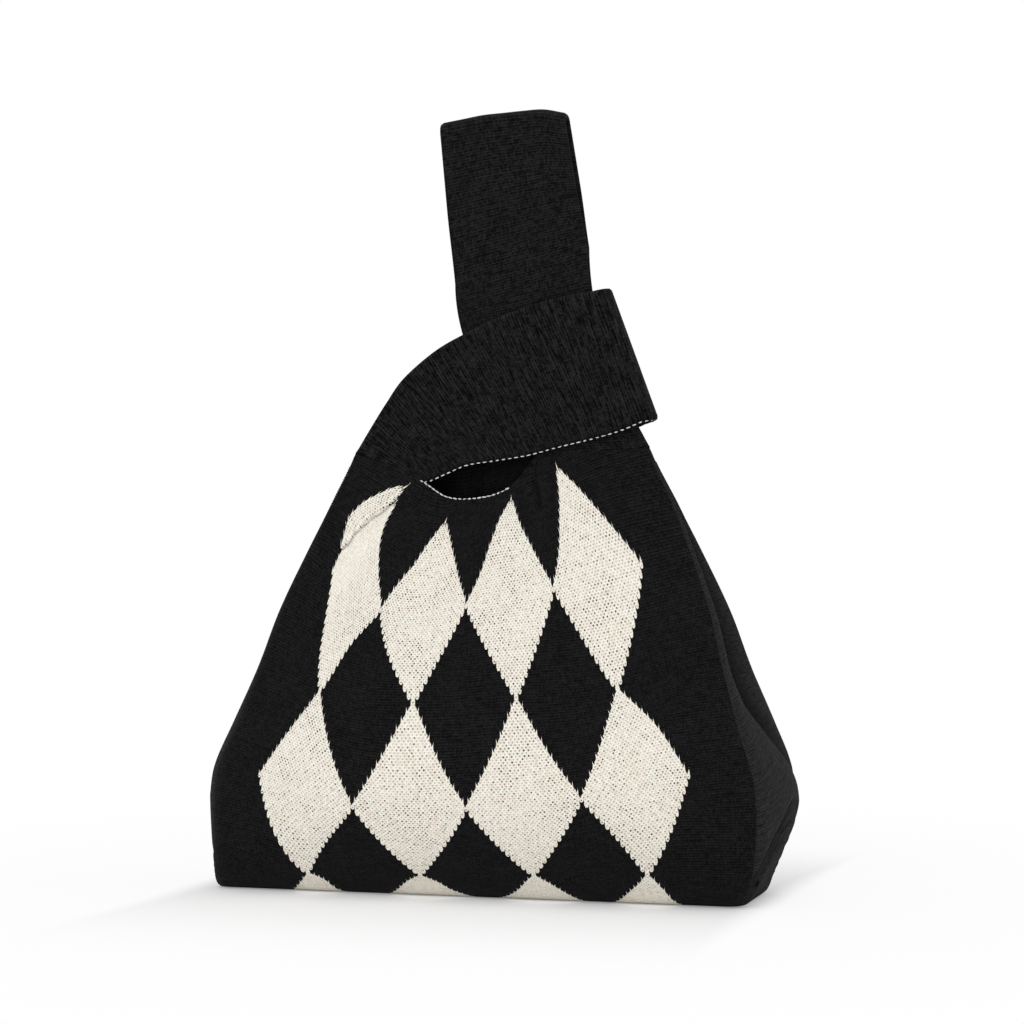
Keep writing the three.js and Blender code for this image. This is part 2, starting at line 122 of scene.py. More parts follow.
# Where the pattern's points lie in the picture: (column, row) of the harlequin, then pixels
PATTERN_POINTS = {
    (1.5, 0): (447.5, 519), (2.5, 0): (512, 496), (3.5, 0): (556.5, 463),
    (1.25, 0.25): (415, 566), (1.375, 0.125): (431, 542), (1.625, 0.125): (450.5, 539),
    (1.75, 0.25): (455.5, 562), (2.25, 0.25): (489.5, 550), (2.75, 0.25): (529.5, 543),
    (2.375, 0.125): (501, 519), (2.625, 0.125): (518, 518),
    (3.375, 0.125): (560, 494), (3.25, 0.25): (560.5, 525), (3.75, 0.25): (594.5, 506),
    (3.625, 0.125): (575, 484),
    (0, 0.5): (335, 569), (1, 0.5): (382.5, 608.5), (2, 0.5): (467.3, 604),
    (3, 0.5): (554, 587), (4, 0.5): (640.7, 562),
    (0.25, 0.75): (326, 632), (0.75, 0.75): (351, 643.5),
    (0.5, 1): (321.5, 690), (1.5, 1): (414, 702), (2.5, 1): (517, 697), (3.5, 1): (618, 688),
    (0.25, 1.25): (290.5, 731.4), (3.75, 1.25): (655.2, 724.5),
    (0, 1.5): (262, 772), (1, 1.5): (353.5, 804), (2, 1.5): (467, 806),
    (3, 1.5): (582, 797), (4, 1.5): (688.4, 773.5),
    (0.25, 1.75): (274.5, 824), (3.75, 1.75): (673, 822),
    (0.5, 2): (309, 870), (1.5, 2): (421, 872.5), (2.5, 2): (534.5, 872.5), (3.5, 2): (648, 871.5),
    (0.431, 2.069): (303.2, 877.6), (0.345, 2.155): (296.7, 884.4), (0.635, 2.135): (325.4, 877.1),
    (0.72, 2.22): (337.1, 885.4), (1.392, 2.108): (410.1, 877.6), (1.274, 2.226): (399.7, 885.4),
    (1.643, 2.143): (438.8, 879.7), (1.738, 2.238): (451.8, 886.7), (1.836, 2.336): (464.9, 890.9),
    (2.428, 2.072): (527.4, 878.9), (2.342, 2.158): (519.6, 886.7), (2.633, 2.133): (551.1, 881.5),
    (2.751, 2.251): (566.7, 890.4), (3.416, 2.084): (639.7, 881.5), (3.336, 2.164): (631.9, 888),
    (3.575, 2.075): (658, 881.5), (3.635, 2.135): (665.8, 889.3), (3.69, 2.19): (673.6, 897.4),
}
# The first diamond's top is folded: its left edge lies over the fold and its right edge under it
OVER_FOLD = {
    (0.5, 0): (411, 484), (0.4615, 0.0385): (401, 487), (0.3846, 0.1154): (381.7, 494),
    (0.3077, 0.1923): (366, 502.5), (0.25, 0.25): (358, 509.5), (0.1923, 0.3077): (351, 518),
    (0.1154, 0.3846): (347, 533), (0.5385, 0.0385): (402, 492.5), (0.6154, 0.1154): (396, 501),
}
UNDER_FOLD = {
    (0.5, 0): (400, 499), (0.5769, 0.0769): (391.5, 514), (0.6538, 0.1538): (385.5, 526),
    (0.75, 0.25): (380.6, 545.5), (0.875, 0.375): (379.5, 577), (0.0962, 0.4038): (342, 553),
}
FOLD_LINE = [
    (300, 588), (345, 547), (354.7, 534), (361.6, 527.8), (371.6, 518.6), (383, 511), (396, 498.7),
    (404, 492), (416, 482),
]
CREASE_ENDS = [(338, 552), (402, 494)]  # between these the fold shows as a line


def clamp01(v):
    return np.clip(v, 0, 1)


def smooth(v):
    v = clamp01(v)
    return v * v * (3 - 2 * v)


def lerp(a, b, t):
    return a + (b - a) * t


def hump(away, half_width):
    return np.exp(-(away / half_width) ** 2)


def xyz(x, y, z):
    return np.stack(np.broadcast_arrays(x, y, z), -1)


def unit(vectors):
    """Vectors of length one, along the last axis."""
    return vectors / np.maximum(np.linalg.norm(vectors, axis=-1, keepdims=True), 1e-9)


def length_along(points):
    """Length of a line up to each of its points."""
    return np.r_[0, np.cumsum(np.linalg.norm(np.diff(points, axis=0), axis=1))]


def through(xs, ys, x):
    """Value at x of the Catmull-Rom curve through (xs, ys)."""
    xs, ys, x = np.asarray(xs, float), np.asarray(ys, float), np.asarray(x, float)
    slopes = chords(xs, ys)
    i = np.clip(np.searchsorted(xs, x, side="right") - 1, 0, len(xs) - 2)
    span = xs[i + 1] - xs[i]
    t = (x - xs[i]) / span
    t2, t3 = t * t, t * t * t
    low = (2 * t3 - 3 * t2 + 1) * ys[i] + (t3 - 2 * t2 + t) * span * slopes[i]
    return low + (3 * t2 - 2 * t3) * ys[i + 1] + (t3 - t2) * span * slopes[i + 1]


def chords(xs, ys):
    """The slope at each point: of the chord between its neighbours."""
    before = np.maximum(np.arange(len(xs)) - 1, 0)
    after = np.minimum(np.arange(len(xs)) + 1, len(xs) - 1)
    return (ys[after] - ys[before]) / (xs[after] - xs[before])


def line_through(points, t):
    """Points at shares t along a smooth line through points."""
    points = np.asarray(points, float)
    knots = np.linspace(0, 1, len(points))
    return np.stack([through(knots, points[:, k], t) for k in range(points.shape[1])], -1)


# The camera's own axes, and the ray through a pixel of the picture
SIDEWAYS = np.array([math.cos(VIEW_ANGLE), math.sin(VIEW_ANGLE), 0])
AHEAD = np.array([-math.sin(VIEW_ANGLE), math.cos(VIEW_ANGLE), 0])
TARGET = SIDEWAYS * VIEW_SIDE + np.array([0, 0, VIEW_HEIGHT])
EYE = TARGET - AHEAD * VIEW_DISTANCE


def seen_at(pixels, y):
    """Where the rays through pixels of the picture cross the plane at depth y."""
    pixels = np.atleast_2d(np.asarray(pixels, float))
    right = (pixels[:, 0] - PICTURE / 2) / FOCAL_PIXELS
    up = (PICTURE / 2 - pixels[:, 1]) / FOCAL_PIXELS
    ray = AHEAD + right[:, None] * SIDEWAYS + up[:, None] * np.array([0, 0, 1])
    reach = (y - EYE[1]) / ray[:, 1]
    return EYE + reach[:, None] * ray


def wall(q, top=SHOULDER_HEIGHT, back=0.0):
    """The body's wall at share q up a column that ends at height top; back is 0 in front, 1 behind."""
    turn = clamp01(q / BELLY_SHARE) * math.pi / 2
    curl = np.sin(turn)
    rise = np.maximum((q - BELLY_SHARE) / (1 - BELLY_SHARE), 0)
    low = lerp(BELLY_HEIGHT, HALF, np.cos(turn))
    z = np.where(rise > 0, lerp(BELLY_HEIGHT, top, rise), low)
    high = BODY_WIDTH / 2 * through(WALL_HEIGHTS, WALL_WIDTHS, z / SHOULDER_HEIGHT) - HALF
    width = np.where(rise > 0, high, lerp(FOOT_WIDTH / 2, HALF_WIDTH, np.sqrt(curl)))
    height = np.minimum(z / BELLY_HEIGHT, BACK_HEIGHTS[-1])
    narrowed = width * lerp(1, through(BACK_HEIGHTS, BACK_WIDTHS, height), back)
    shift = FOOT_SHIFT * (1 - curl) + TOP_SHIFT * rise ** 2
    return {"z": z, "shift": shift, "width": narrowed, "curl": curl, "rise": rise,
            "depth": lerp(FOOT_DEPTH / 2, HALF_DEPTH, curl)}


def top_height(s, side):
    drop = through(DROP_COLUMNS, DROPS[side], np.clip(s, -1, 1))
    return SHOULDER_HEIGHT - MOUTH_DROP[side] * drop


LEAN_END = SHOULDER_HEIGHT - MOUTH_DROP[BACK]
# How gently the wall leaves its belly and meets the knot, as shares of its height
LEAN_START, LEAN_STOP = 0.12, 0.25


def panel_depth(s, place):
    """Distance of a panel from the middle plane: deep at the belly, two strap layers at the knot."""
    lean = clamp01((place["z"] - BELLY_HEIGHT) / (LEAN_END - BELLY_HEIGHT))
    eased = (np.sqrt(lean ** 2 + LEAN_START ** 2) - LEAN_START) / (math.hypot(1, LEAN_START) - LEAN_START)
    slope = 1 / (1 - LEAN_STOP / 2)
    eased = np.where(eased < 1 - LEAN_STOP, slope * eased, 1 - slope * (1 - eased) ** 2 / (2 * LEAN_STOP))
    crown = lerp(1, CORNER_SHARE + (1 - CORNER_SHARE) * (1 - s ** 4), place["curl"])
    knot = lerp(LOOP_HALF, STRAP_HALF, smooth((s - MOUTH_CORNER) / (MOUTH_END - MOUTH_CORNER)))
    return lerp(place["depth"] * crown, knot, eased)


# The soft corners' radius at heights above the ground, and at most as a share of the depth there
RIDGE_HEIGHTS, RIDGE_RADII = [0, 20, 60, 110, 150, 194], [6, 6, 6, 4.5, 3, 2]
RIDGE_MOST = 0.5


def ridge_radius(place, depth):
    """Radius of the soft corner where a panel turns into a gusset."""
    return np.minimum(through(RIDGE_HEIGHTS, RIDGE_RADII, place["z"]), depth * RIDGE_MOST)


def round_off(reach, limit, radius):
    """Carries a flat coordinate round a quarter turn's first half: (new coordinate, how far in the wall
    has turned)."""
    arc = radius * math.pi / 4
    gap = limit - np.abs(reach)
    angle = math.pi / 4 * clamp01(1 - gap / arc)
    flat = np.abs(reach) * (limit - radius) / (limit - arc)
    turned = limit - radius + radius * np.sin(angle)
    return np.sign(reach) * np.where(gap >= arc, flat, turned), radius * (1 - np.cos(angle))


def panel_point(s, q, side):
    place = wall(q, top_height(s, side), 0 if side < 0 else 1)
    gathered = through(COLUMNS, COLUMN_TOPS, s)
    depth = panel_depth(s, place)
    reach = place["width"] * lerp(s, gathered, smooth(place["rise"]))
    x, turned = round_off(reach, place["width"], ridge_radius(place, panel_depth(1.0, place)))
    return xyz(place["shift"] + x, side * (depth - turned), place["z"])


# Length of knit from the base seam up to the belly, at shares of the wall
CURL_SHARES = np.linspace(0, BELLY_SHARE, 60)
CURL_LENGTHS = length_along(panel_point(0, CURL_SHARES, FRONT))
LEAN_STRETCH = 1.03  # knit per height above the belly, where the wall leans


def knit_height(q, z):
    """Length of knit from the base seam to a point of a panel."""
    curl = np.interp(q, CURL_SHARES, CURL_LENGTHS)
    return curl + np.maximum(z - BELLY_HEIGHT, 0) * (q > BELLY_SHARE) * LEAN_STRETCH


WALL_STEPS, WIDTH_STEPS, ROUNDS = 900, 201, 6  # how finely a pixel's place on the panel is looked for


def on_front(pixels):
    """(x, length of knit) of the points of the front panel that pixels of the picture show."""
    q, columns = np.linspace(0, 1, WALL_STEPS), np.linspace(-1, 1, WIDTH_STEPS)
    found = []
    for pixel in np.atleast_2d(np.asarray(pixels, float)):
        s = 0.0
        for _ in range(ROUNDS):
            line = panel_point(s, q, FRONT)
            seen = seen_at(np.tile(pixel, (len(q), 1)), line[:, 1])
            at = np.interp(0, line[:, 2] - seen[:, 2], q)
            x, z = np.interp(at, q, seen[:, 0]), np.interp(at, q, line[:, 2])
            s = float(np.interp(x, panel_point(columns, at, FRONT)[:, 0], columns))
        found.append((x, float(knit_height(at, z))))
    return np.array(found)


def thin_plate(points, values):
    """A smooth map that takes given points to their values."""
    def kernel(a, b):
        square = ((a[:, None] - b[None]) ** 2).sum(-1)
        return square * np.log(square + 1e-12)
    count = len(points)
    plane = np.c_[np.ones(count), points]
    system = np.block([[kernel(points, points), plane], [plane.T, np.zeros((3, 3))]])
    weights = np.linalg.solve(system, np.r_[values, np.zeros((3, values.shape[1]))])
    return lambda at: kernel(at, points) @ weights[:count] + np.c_[np.ones(len(at)), at] @ weights[count:]


SCALE = 100.0  # the maps count in this many millimetres, which keeps their sums even


def pattern_map(points):
    return thin_plate(on_front(list(points.values())) / SCALE, np.array(list(points), float))


over_map = pattern_map({**PATTERN_POINTS, **OVER_FOLD})
under_map = pattern_map({**PATTERN_POINTS, **UNDER_FOLD})
fold_curve = line_through(on_front(FOLD_LINE), np.linspace(0, 1, 160))
crease_start, crease_stop = on_front(CREASE_ENDS)[:, 0]


def pattern_uv(at, over):
    """Knit coordinates, in flat millimetres, of places (x, length of knit) on a panel."""
    flat = at.reshape(-1, 2) / SCALE
    column_row = np.where(over.reshape(-1, 1), over_map(flat), under_map(flat)).reshape(at.shape)
    return column_row * np.array([DIAMOND_WIDTH, -DIAMOND_HEIGHT])


def above_fold(at):
    """How far places on the panel lie above the fold of the first diamond, in millimetres."""
    line = np.interp(at[..., 0], fold_curve[:, 0], fold_curve[:, 1])
    slope = np.interp(at[..., 0], fold_curve[:, 0], np.gradient(fold_curve[:, 1], fold_curve[:, 0]))
    return (at[..., 1] - line) / np.sqrt(1 + slope ** 2)


# Pleats that hang from the gathered mouth: lines in the picture, depth and half width in millimetres
PLEATS = (
    (((536, 484), (540, 500), (545, 520)), 2.8, 1.5),
    (((530, 478), (533, 500), (535, 527)), -1.3, 2.2),
    (((546, 478), (550, 500), (552, 520)), -0.9, 2.0),
    (((458, 500), (459, 515), (461, 535)), 0.5, 1.3),
    (((470, 500), (470, 514), (471, 530)), 0.6, 1.2),
    (((483, 498), (482, 512), (480, 528)), 0.6, 1.2),
    (((497, 495), (495, 508), (491, 520)), 0.6, 1.3),
    (((430, 492), (426, 508), (418, 530)), 0.7, 1.8),
    (((441, 497), (439, 512), (436, 528)), 0.5, 1.4),
)


# How fast a pleat deepens upwards, and how much of it is lost over how far at the mouth
PLEAT_GAIN, PLEAT_LOSS, PLEAT_TOP = 1.4, 0.6, 6.0


def pleat_depth(at):
    """How far the gathers press the panel in."""
    total = np.zeros(at.shape[:-1])
    for line, depth, half_width in PLEATS:
        places = on_front(line)[::-1]
        low, high = places[0, 1], places[-1, 1]
        centre = np.interp(at[..., 1], places[:, 1], places[:, 0])
        deeper = smooth((at[..., 1] - low) / (high - low) * PLEAT_GAIN)
        lost = PLEAT_LOSS * smooth((at[..., 1] - high) / PLEAT_TOP + 0.5)
        total += depth * (deeper * (1 - lost)) * hump(at[..., 0] - centre, half_width)
    return total


# Folds of the back panel inside the mouth: place across, how far it comes forward, half width
BACK_FOLDS = ((-19, 1.8, 4.0), (-10.5, -1.6, 2.0), (-4, 1.2, 3.5))
BACK_FOLD_RUN = 40.0  # how far down they reach


def back_fold_depth(at, top):
    """How far the back panel's folds come forward: most at its top, fading further down."""
    folds = sum(depth * hump(at[..., 0] - centre, half_width) for centre, depth, half_width in BACK_FOLDS)
    return (1 - smooth((top - at[..., 1]) / BACK_FOLD_RUN)) * folds


def grid_quads(across, up):
    """Faces of a grid whose points run up first, then across."""
    i, j = np.meshgrid(np.arange(across), np.arange(up), indexing="ij")
    a = i * (up + 1) + j
    return np.stack([a, a + up + 1, a + up + 2, a + 1], -1).reshape(-1, 4)


def vertex_normals(points, quads):
    corner = points[quads]
    face = np.cross(corner[:, 2] - corner[:, 0], corner[:, 3] - corner[:, 1])
    normals = np.zeros_like(points)
    for k in range(4):
        np.add.at(normals, quads[:, k], face)
    return unit(normals)


def boundary_edges(quads):
    """Directed edges that only one face has."""
    edges = np.concatenate([quads[:, [k, (k + 1) % 4]] for k in range(4)])
    key = np.sort(edges, axis=1)
    order = np.lexsort((key[:, 1], key[:, 0]))
    ordered = key[order]
    same = (ordered[1:] == ordered[:-1]).all(1)
    single = ~(np.r_[False, same] | np.r_[same, False])
    return edges[order[single]]


RIM_TURNS = [math.radians(a) for a in (50, 90, 130)]  # the points round a free edge


def knit_sheet(name, points, quads, uv, materials, joined, normals=None, corner_uv=None, shades=None):
    """A closed sheet of knit about a middle surface, a list or a grid of points, whose faces look outwards.
    Free edges are rounded; edges whose ends are both joined are cut flat, because the next piece carries on
    from them."""
    points, uv = points.reshape(-1, 3), uv.reshape(-1, 2)
    normals = vertex_normals(points, quads) if normals is None else normals.reshape(-1, 3)
    edges = boundary_edges(quads)
    flat_cut = joined.reshape(-1)[edges].all(1)
    cut, free = edges[flat_cut], edges[~flat_cut]
    rim = np.unique(free)
    out = np.zeros_like(points)
    along = points[free[:, 1]] - points[free[:, 0]]
    push = np.cross(along, normals[free[:, 0]] + normals[free[:, 1]])
    np.add.at(out, free[:, 0], push)
    np.add.at(out, free[:, 1], push)
    out = unit(out[rim])
    rows = [points + normals * HALF, points - normals * HALF]
    for turn in RIM_TURNS:
        rows.append(points[rim] + HALF * (normals[rim] * math.cos(turn) + out * math.sin(turn)))
    count = len(points)
    index = np.full(count, -1)
    index[rim] = np.arange(len(rim))
    a, b = free[:, 0], free[:, 1]
    rings = [(a, b)]
    for k in range(len(RIM_TURNS)):
        start = 2 * count + k * len(rim)
        rings.append((start + index[a], start + index[b]))
    rings.append((a + count, b + count))
    walls = [np.stack([low[1], low[0], high[0], high[1]], -1) for low, high in zip(rings, rings[1:])]
    walls.append(np.stack([cut[:, 1], cut[:, 0], cut[:, 0] + count, cut[:, 1] + count], -1))
    walls = np.concatenate(walls)
    faces = np.concatenate([quads, quads[:, ::-1] + count, walls])
    source = np.concatenate([np.arange(count), np.arange(count)] + [rim] * len(RIM_TURNS))
    slots = np.concatenate([np.zeros(len(quads)), np.ones(len(quads)), np.zeros(len(walls))])
    corners = uv[source][faces]
    if corner_uv is not None:
        corners[:len(quads)] = corner_uv
        corners[len(quads):2 * len(quads)] = corner_uv[:, ::-1]
    shades = {label: values.reshape(-1)[source] for label, values in (shades or {}).items()}
    return mesh_piece(name, np.concatenate(rows), faces, corners, materials, slots, shades)


def place_object(name, data):
    piece = bpy.data.objects.new(name, data)
    bpy.context.scene.collection.objects.link(piece)
    return piece


def mesh_piece(name, points, faces, corners, materials, slots, shades):
    """A mesh object from points in millimetres, with its knit coordinates at each face's corners."""
    mesh = bpy.data.meshes.new(name)
    mesh.from_pydata((points * MM).tolist(), [], faces.tolist())
    layer = mesh.uv_layers.new(name="Knit")
    layer.data.foreach_set("uv", corners.astype(np.float32).ravel())
    for label, values in shades.items():
        shade = mesh.attributes.new(label, "FLOAT", "POINT")
        shade.data.foreach_set("value", values.astype(np.float32))
    for material in materials:
        mesh.materials.append(material)
    if len(materials) > 1:
        mesh.polygons.foreach_set("material_index", slots.astype(np.int32))
    mesh.polygons.foreach_set("use_smooth", np.ones(len(mesh.polygons), bool))
    mesh.update()
    return place_object(name, mesh)


class Value:
    """A node's output that takes part in Python expressions: each operator adds its Math node."""

    def __init__(self, nodes, link):
        self.nodes, self.link = nodes, link

    def output(self, key):
        """Another output of the same node."""
        return Value(self.nodes, self.link.node.outputs[key])

    def math(self, operation, *others):
        return self.nodes.make("ShaderNodeMath", {"operation": operation}, dict(enumerate([self, *others])))

    def __add__(self, other): return self.math("ADD", other)
    def __radd__(self, other): return self.math("ADD", other)
    def __sub__(self, other): return self.math("SUBTRACT", other)
    def __rsub__(self, other): return (self * -1) + other
    def __mul__(self, other): return self.math("MULTIPLY", other)
    def __rmul__(self, other): return self.math("MULTIPLY", other)
    def __truediv__(self, other): return self.math("DIVIDE", other)
    def __pow__(self, other): return self.math("POWER", other)
    def __abs__(self): return self.math("ABSOLUTE")
    def floor(self): return self.math("FLOOR")
    def fract(self): return self.math("FRACT")
    def sqrt(self): return self.math("SQRT")
    def sin(self): return self.math("SINE")
    def sign(self): return self.math("SIGN")
    def mod(self, other): return self.math("FLOORED_MODULO", other)
    def least(self, other): return self.math("MINIMUM", other)
    def most(self, other): return self.math("MAXIMUM", other)
    def within(self, low, high): return self.most(low).least(high)
    def below(self, other): return self.math("LESS_THAN", other)
    def above(self, other): return self.math("GREATER_THAN", other)

    def fade(self, start, stop, low, high):
        """Goes softly from low, where the value is start, to high, where it is stop."""
        return self.nodes.make("ShaderNodeMapRange", {"interpolation_type": "SMOOTHSTEP"}, {
            "Value": self, "From Min": start, "From Max": stop, "To Min": low, "To Max": high})

    def length(self):
        return self.nodes.make("ShaderNodeVectorMath", {"operation": "LENGTH"}, {0: self}, output=1)

    def split(self):
        first = self.nodes.make("ShaderNodeSeparateXYZ", {}, {0: self})
        return [first.output(k) for k in range(3)]


class Nodes:
    """A node tree, and the material it belongs to. make adds any node and returns an output as a Value."""

    def __init__(self, tree, owner=None):
        self.tree, self.owner = tree, owner
        tree.nodes.clear()

    def make(self, kind, settings, sockets, output=0):
        node = self.tree.nodes.new(kind)
        for key, value in settings.items():
            setattr(node, key, value)
        for key, value in sockets.items():
            if isinstance(value, Value):
                self.tree.links.new(value.link, node.inputs[key])
            else:
                node.inputs[key].default_value = value
        return Value(self, node.outputs[output]) if node.outputs else None

    def uv(self):
        return self.make("ShaderNodeUVMap", {"uv_map": "Knit"}, {}).split()

    def place(self):
        return self.make("ShaderNodeTexCoord", {}, {}).output("Object")

    def attribute(self, name):
        return self.make("ShaderNodeAttribute", {"attribute_name": name}, {}).output("Fac")

    def join(self, x, y, z=0.0):
        return self.make("ShaderNodeCombineXYZ", {}, {0: x, 1: y, 2: z})

    def noise(self, vector, scale, detail=2.0):
        return self.make("ShaderNodeTexNoise", {}, {"Vector": vector, "Scale": scale, "Detail": detail})

    def random(self, x, y, seed):
        """A random number for each whole x and y."""
        return self.make("ShaderNodeTexWhiteNoise", {}, {"Vector": self.join(x.floor(), y.floor(), seed)})

    def mix(self, factor, a, b):
        return self.make("ShaderNodeMix", {"data_type": "RGBA"}, {0: factor, 6: a, 7: b}, output=2)

    def finish(self, color, roughness, height, bump, sheen):
        normal = self.make("ShaderNodeBump", {}, {"Strength": bump, "Distance": BUMP_DEPTH, "Height": height})
        shader = self.make("ShaderNodeBsdfPrincipled", {}, {
            "Base Color": color, "Roughness": roughness, "Normal": normal,
            "Sheen Weight": sheen, "Sheen Roughness": 0.5, "Specular IOR Level": 0.05})
        self.make("ShaderNodeOutputMaterial", {}, {"Surface": shader})
        return self.owner


def nodes_of(owner):
    """The cleared node tree of a material or a world."""
    owner.use_nodes = True
    return Nodes(owner.node_tree, owner)


def paint(red, green, blue):
    """A colour given as it looks on a screen, 0 to 255, for a shader's socket."""
    def linear(c):
        c /= 255
        return c / 12.92 if c <= 0.04045 else ((c + 0.055) / 1.055) ** 2.4
    return (linear(red), linear(green), linear(blue), 1.0)


IVORY, IVORY_PALE = paint(228, 214, 194), paint(255, 253, 243)
IVORY_WARM, IVORY_SOILED, IVORY_HOLE = paint(226, 203, 180), paint(186, 172, 156), paint(70, 61, 50)
BLACK, BLACK_LIFT, BLACK_DEEP = paint(24, 24, 25), paint(56, 56, 57), paint(2, 2, 3)
# A near-black painted as shade into the gussets' inward fold and over the base
PAINTED_SHADE = paint(3, 3, 3)
WHITE_YARN, WHITE_SHADE = paint(246, 244, 238), paint(190, 186, 178)
BUMP_DEPTH = 0.3 * MM
WALE = DIAMOND_WIDTH / CELLS / WALES_PER_CELL
COURSE = DIAMOND_HEIGHT / CELLS / COURSES_PER_CELL
# How fine the unevenness of black yarn is, per millimetre: clouds, fibres, and streaks across and up
CLOUD_GRAIN, FIBRE_GRAIN, STREAK_ACROSS, STREAK_UP = 0.07, 1.5, 0.13, 0.85
CLOUDS, FIBRES = 0.12, 0.55  # and how far clouds and fibres change its tone


def stitch_height(u, v, rib, course=COURSE):
    """Bump of plain knit: rows of stitches whose legs lean into a V. rib is how far the rows stand out."""
    leg = abs((u / WALE).fract() - 0.5)
    lean, row_share, leg_share = 0.9 - rib * 0.8, 0.5 + rib * 0.6, 0.4 - rib * 0.35
    row = ((v / course + leg * lean) * (2 * math.pi)).sin() * 0.5 + 0.5
    return (row ** (1 + rib)) * row_share + (1 - (leg * 2) ** 2) * leg_share


def black_shade(nodes, u, v, height, course=COURSE, rows=0.3, streaks=0.25, mean=0.18):
    """Black yarn: the tops of the stitches catch light, some more than others. rows is how far the rows
    stand out, streaks how much stretches of row differ, mean the middle of the scale from deep to lifted."""
    flecks = nodes.random(u / WALE, v / course, 1.0)
    cloud = nodes.noise(nodes.join(u, v), CLOUD_GRAIN) - 0.5
    fibres = nodes.noise(nodes.join(u, v, 4.0), FIBRE_GRAIN) - 0.5
    drawn = nodes.noise(nodes.join(u * STREAK_ACROSS, v * STREAK_UP, 9.0), 1.0, 1.0) - 0.5
    tops = height * (0.24 + flecks) - 0.4
    tone = tops * rows + fibres * FIBRES + drawn * streaks + cloud * CLOUDS + mean
    return nodes.mix(tone.within(0, 1), BLACK_DEEP, BLACK_LIFT)


def black_knit(name, rib, bump, course, streaks, sheen, mean=0.22):
    nodes = nodes_of(bpy.data.materials.new(name))
    u, v, _ = nodes.uv()
    height = stitch_height(u, v, rib, course)
    shade = black_shade(nodes, u, v, height, course, 0.5, streaks, mean)
    # The deep attribute paints shade: where it is set, in the gussets' fold and on the base, the knit darkens
    # towards a near-black
    color = nodes.mix(nodes.attribute("deep"), shade, PAINTED_SHADE)
    return nodes.finish(color, 0.92, height, bump, sheen)


# The stepped edges of the ivory diamonds, in cells: how far each step hangs, where its first course begins
# and how far it reaches past the plain outline. Then the tips that end the top row.
SAG, FIRST_COURSE, REACH = 0.62, 0.3, 0.51
TIP_SLOPE, TIP_LEVEL = 3, 0.35
DIAMONDS_ACROSS, DIAMONDS_DOWN = 4, 3


def diamond_mask(u, v):
    """1 inside an ivory diamond. The edge steps two stitches across for three courses up, and each step
    hangs in an arc."""
    across = u * (CELLS / DIAMOND_WIDTH) + 0.5
    down = v * (-CELLS / DIAMOND_HEIGHT) + 0.5
    middle = CELLS / 2
    in_cell, beside = across.fract(), across.floor().mod(CELLS) - middle
    sag = (1 - (in_cell * 2 - 1) ** 2).most(0).sqrt() * SAG
    course = ((down - sag + FIRST_COURSE) * COURSES_PER_CELL).floor() / COURSES_PER_CELL
    place = (course - 1 / COURSES_PER_CELL).mod(CELLS)
    outer = ((in_cell - 0.5) * beside.sign()).above(0) * place.below(middle)
    ivory = (abs(beside) + abs(place - middle) + outer * (1 / COURSES_PER_CELL)).below(middle + REACH)
    tip = down.above(abs(in_cell - 0.5) * TIP_SLOPE + TIP_LEVEL)
    columns = across.above(0) * across.below(DIAMONDS_ACROSS * CELLS + 1)
    return ivory * (columns * tip * down.below(DIAMONDS_DOWN * CELLS))


FACE_RIB = 0.35
# The ivory knit's open stitches: how much narrower than high a hole is, how far it strays, its core and its
# edge, how dark it is at least and how much more by chance; then how much a stretch of knit opens them
HOLE_NARROW, HOLE_STRAY, HOLE_CORE, HOLE_EDGE, HOLE_LEAST, HOLE_CHANCE = 1.65, 0.2, 0.08, 0.56, 0.5, 1.1
STRETCH_FROM, STRETCH_GAIN, STRETCH_LEAST = 0.3, 3.5, 0.7
STRETCH_GRAIN, BLUSH_GRAIN, SMUDGE_GRAIN = 0.045, 0.11, 0.55  # per millimetre


def harlequin_knit(name):
    nodes = nodes_of(bpy.data.materials.new(name))
    u, v, _ = nodes.uv()
    mask = diamond_mask(u, v)
    height = stitch_height(u, v, FACE_RIB)
    black = black_shade(nodes, u, v, height)
    row = (v / COURSE).floor()
    shifted = u / (WALE * WALES_PER_CELL) + row.mod(2) * 0.5
    jitter = nodes.random(shifted, row, 7.0) - 0.5
    across_hole = (shifted.fract() - 0.5 + jitter * HOLE_STRAY) * HOLE_NARROW
    hole = nodes.join(across_hole, (v / COURSE).fract() - 0.5).length().fade(HOLE_CORE, HOLE_EDGE, 1.0, 0.0)
    stretch = nodes.noise(nodes.join(u, v), STRETCH_GRAIN, 1.0)
    opened = ((stretch - STRETCH_FROM) * STRETCH_GAIN).within(STRETCH_LEAST, 1)
    opened = opened * (1 - nodes.attribute("taut"))
    strength = (HOLE_LEAST + (nodes.random(shifted, row, 3.0) ** 4) * HOLE_CHANCE) * opened
    dots = (hole * strength).least(1)
    blush = nodes.noise(nodes.join(u, v), BLUSH_GRAIN)
    warm = nodes.mix(((blush - 0.45) * 4).within(0, 1), IVORY, IVORY_WARM)
    loops = nodes.random(u / WALE, row, 5.0)
    lit = nodes.mix((height * 0.55 + loops * 0.45 + 0.2).least(1), warm, IVORY_PALE)
    smudge = nodes.noise(nodes.join(u, v), SMUDGE_GRAIN, 3.0)
    soiled = nodes.mix(((smudge - 0.5) * 1.6).within(0, 0.3), lit, IVORY_SOILED)
    # Painted shade along the first diamond's fold line darkens the ivory there towards the colour of the
    # holes
    ivory = nodes.mix((dots + nodes.attribute("crease_shade") * 0.6).least(1), soiled, IVORY_HOLE)
    color = nodes.mix(mask, black, ivory)
    return nodes.finish(color, 0.9, height + mask * 0.3 - dots * mask * 0.8, 0.5, 0.03)


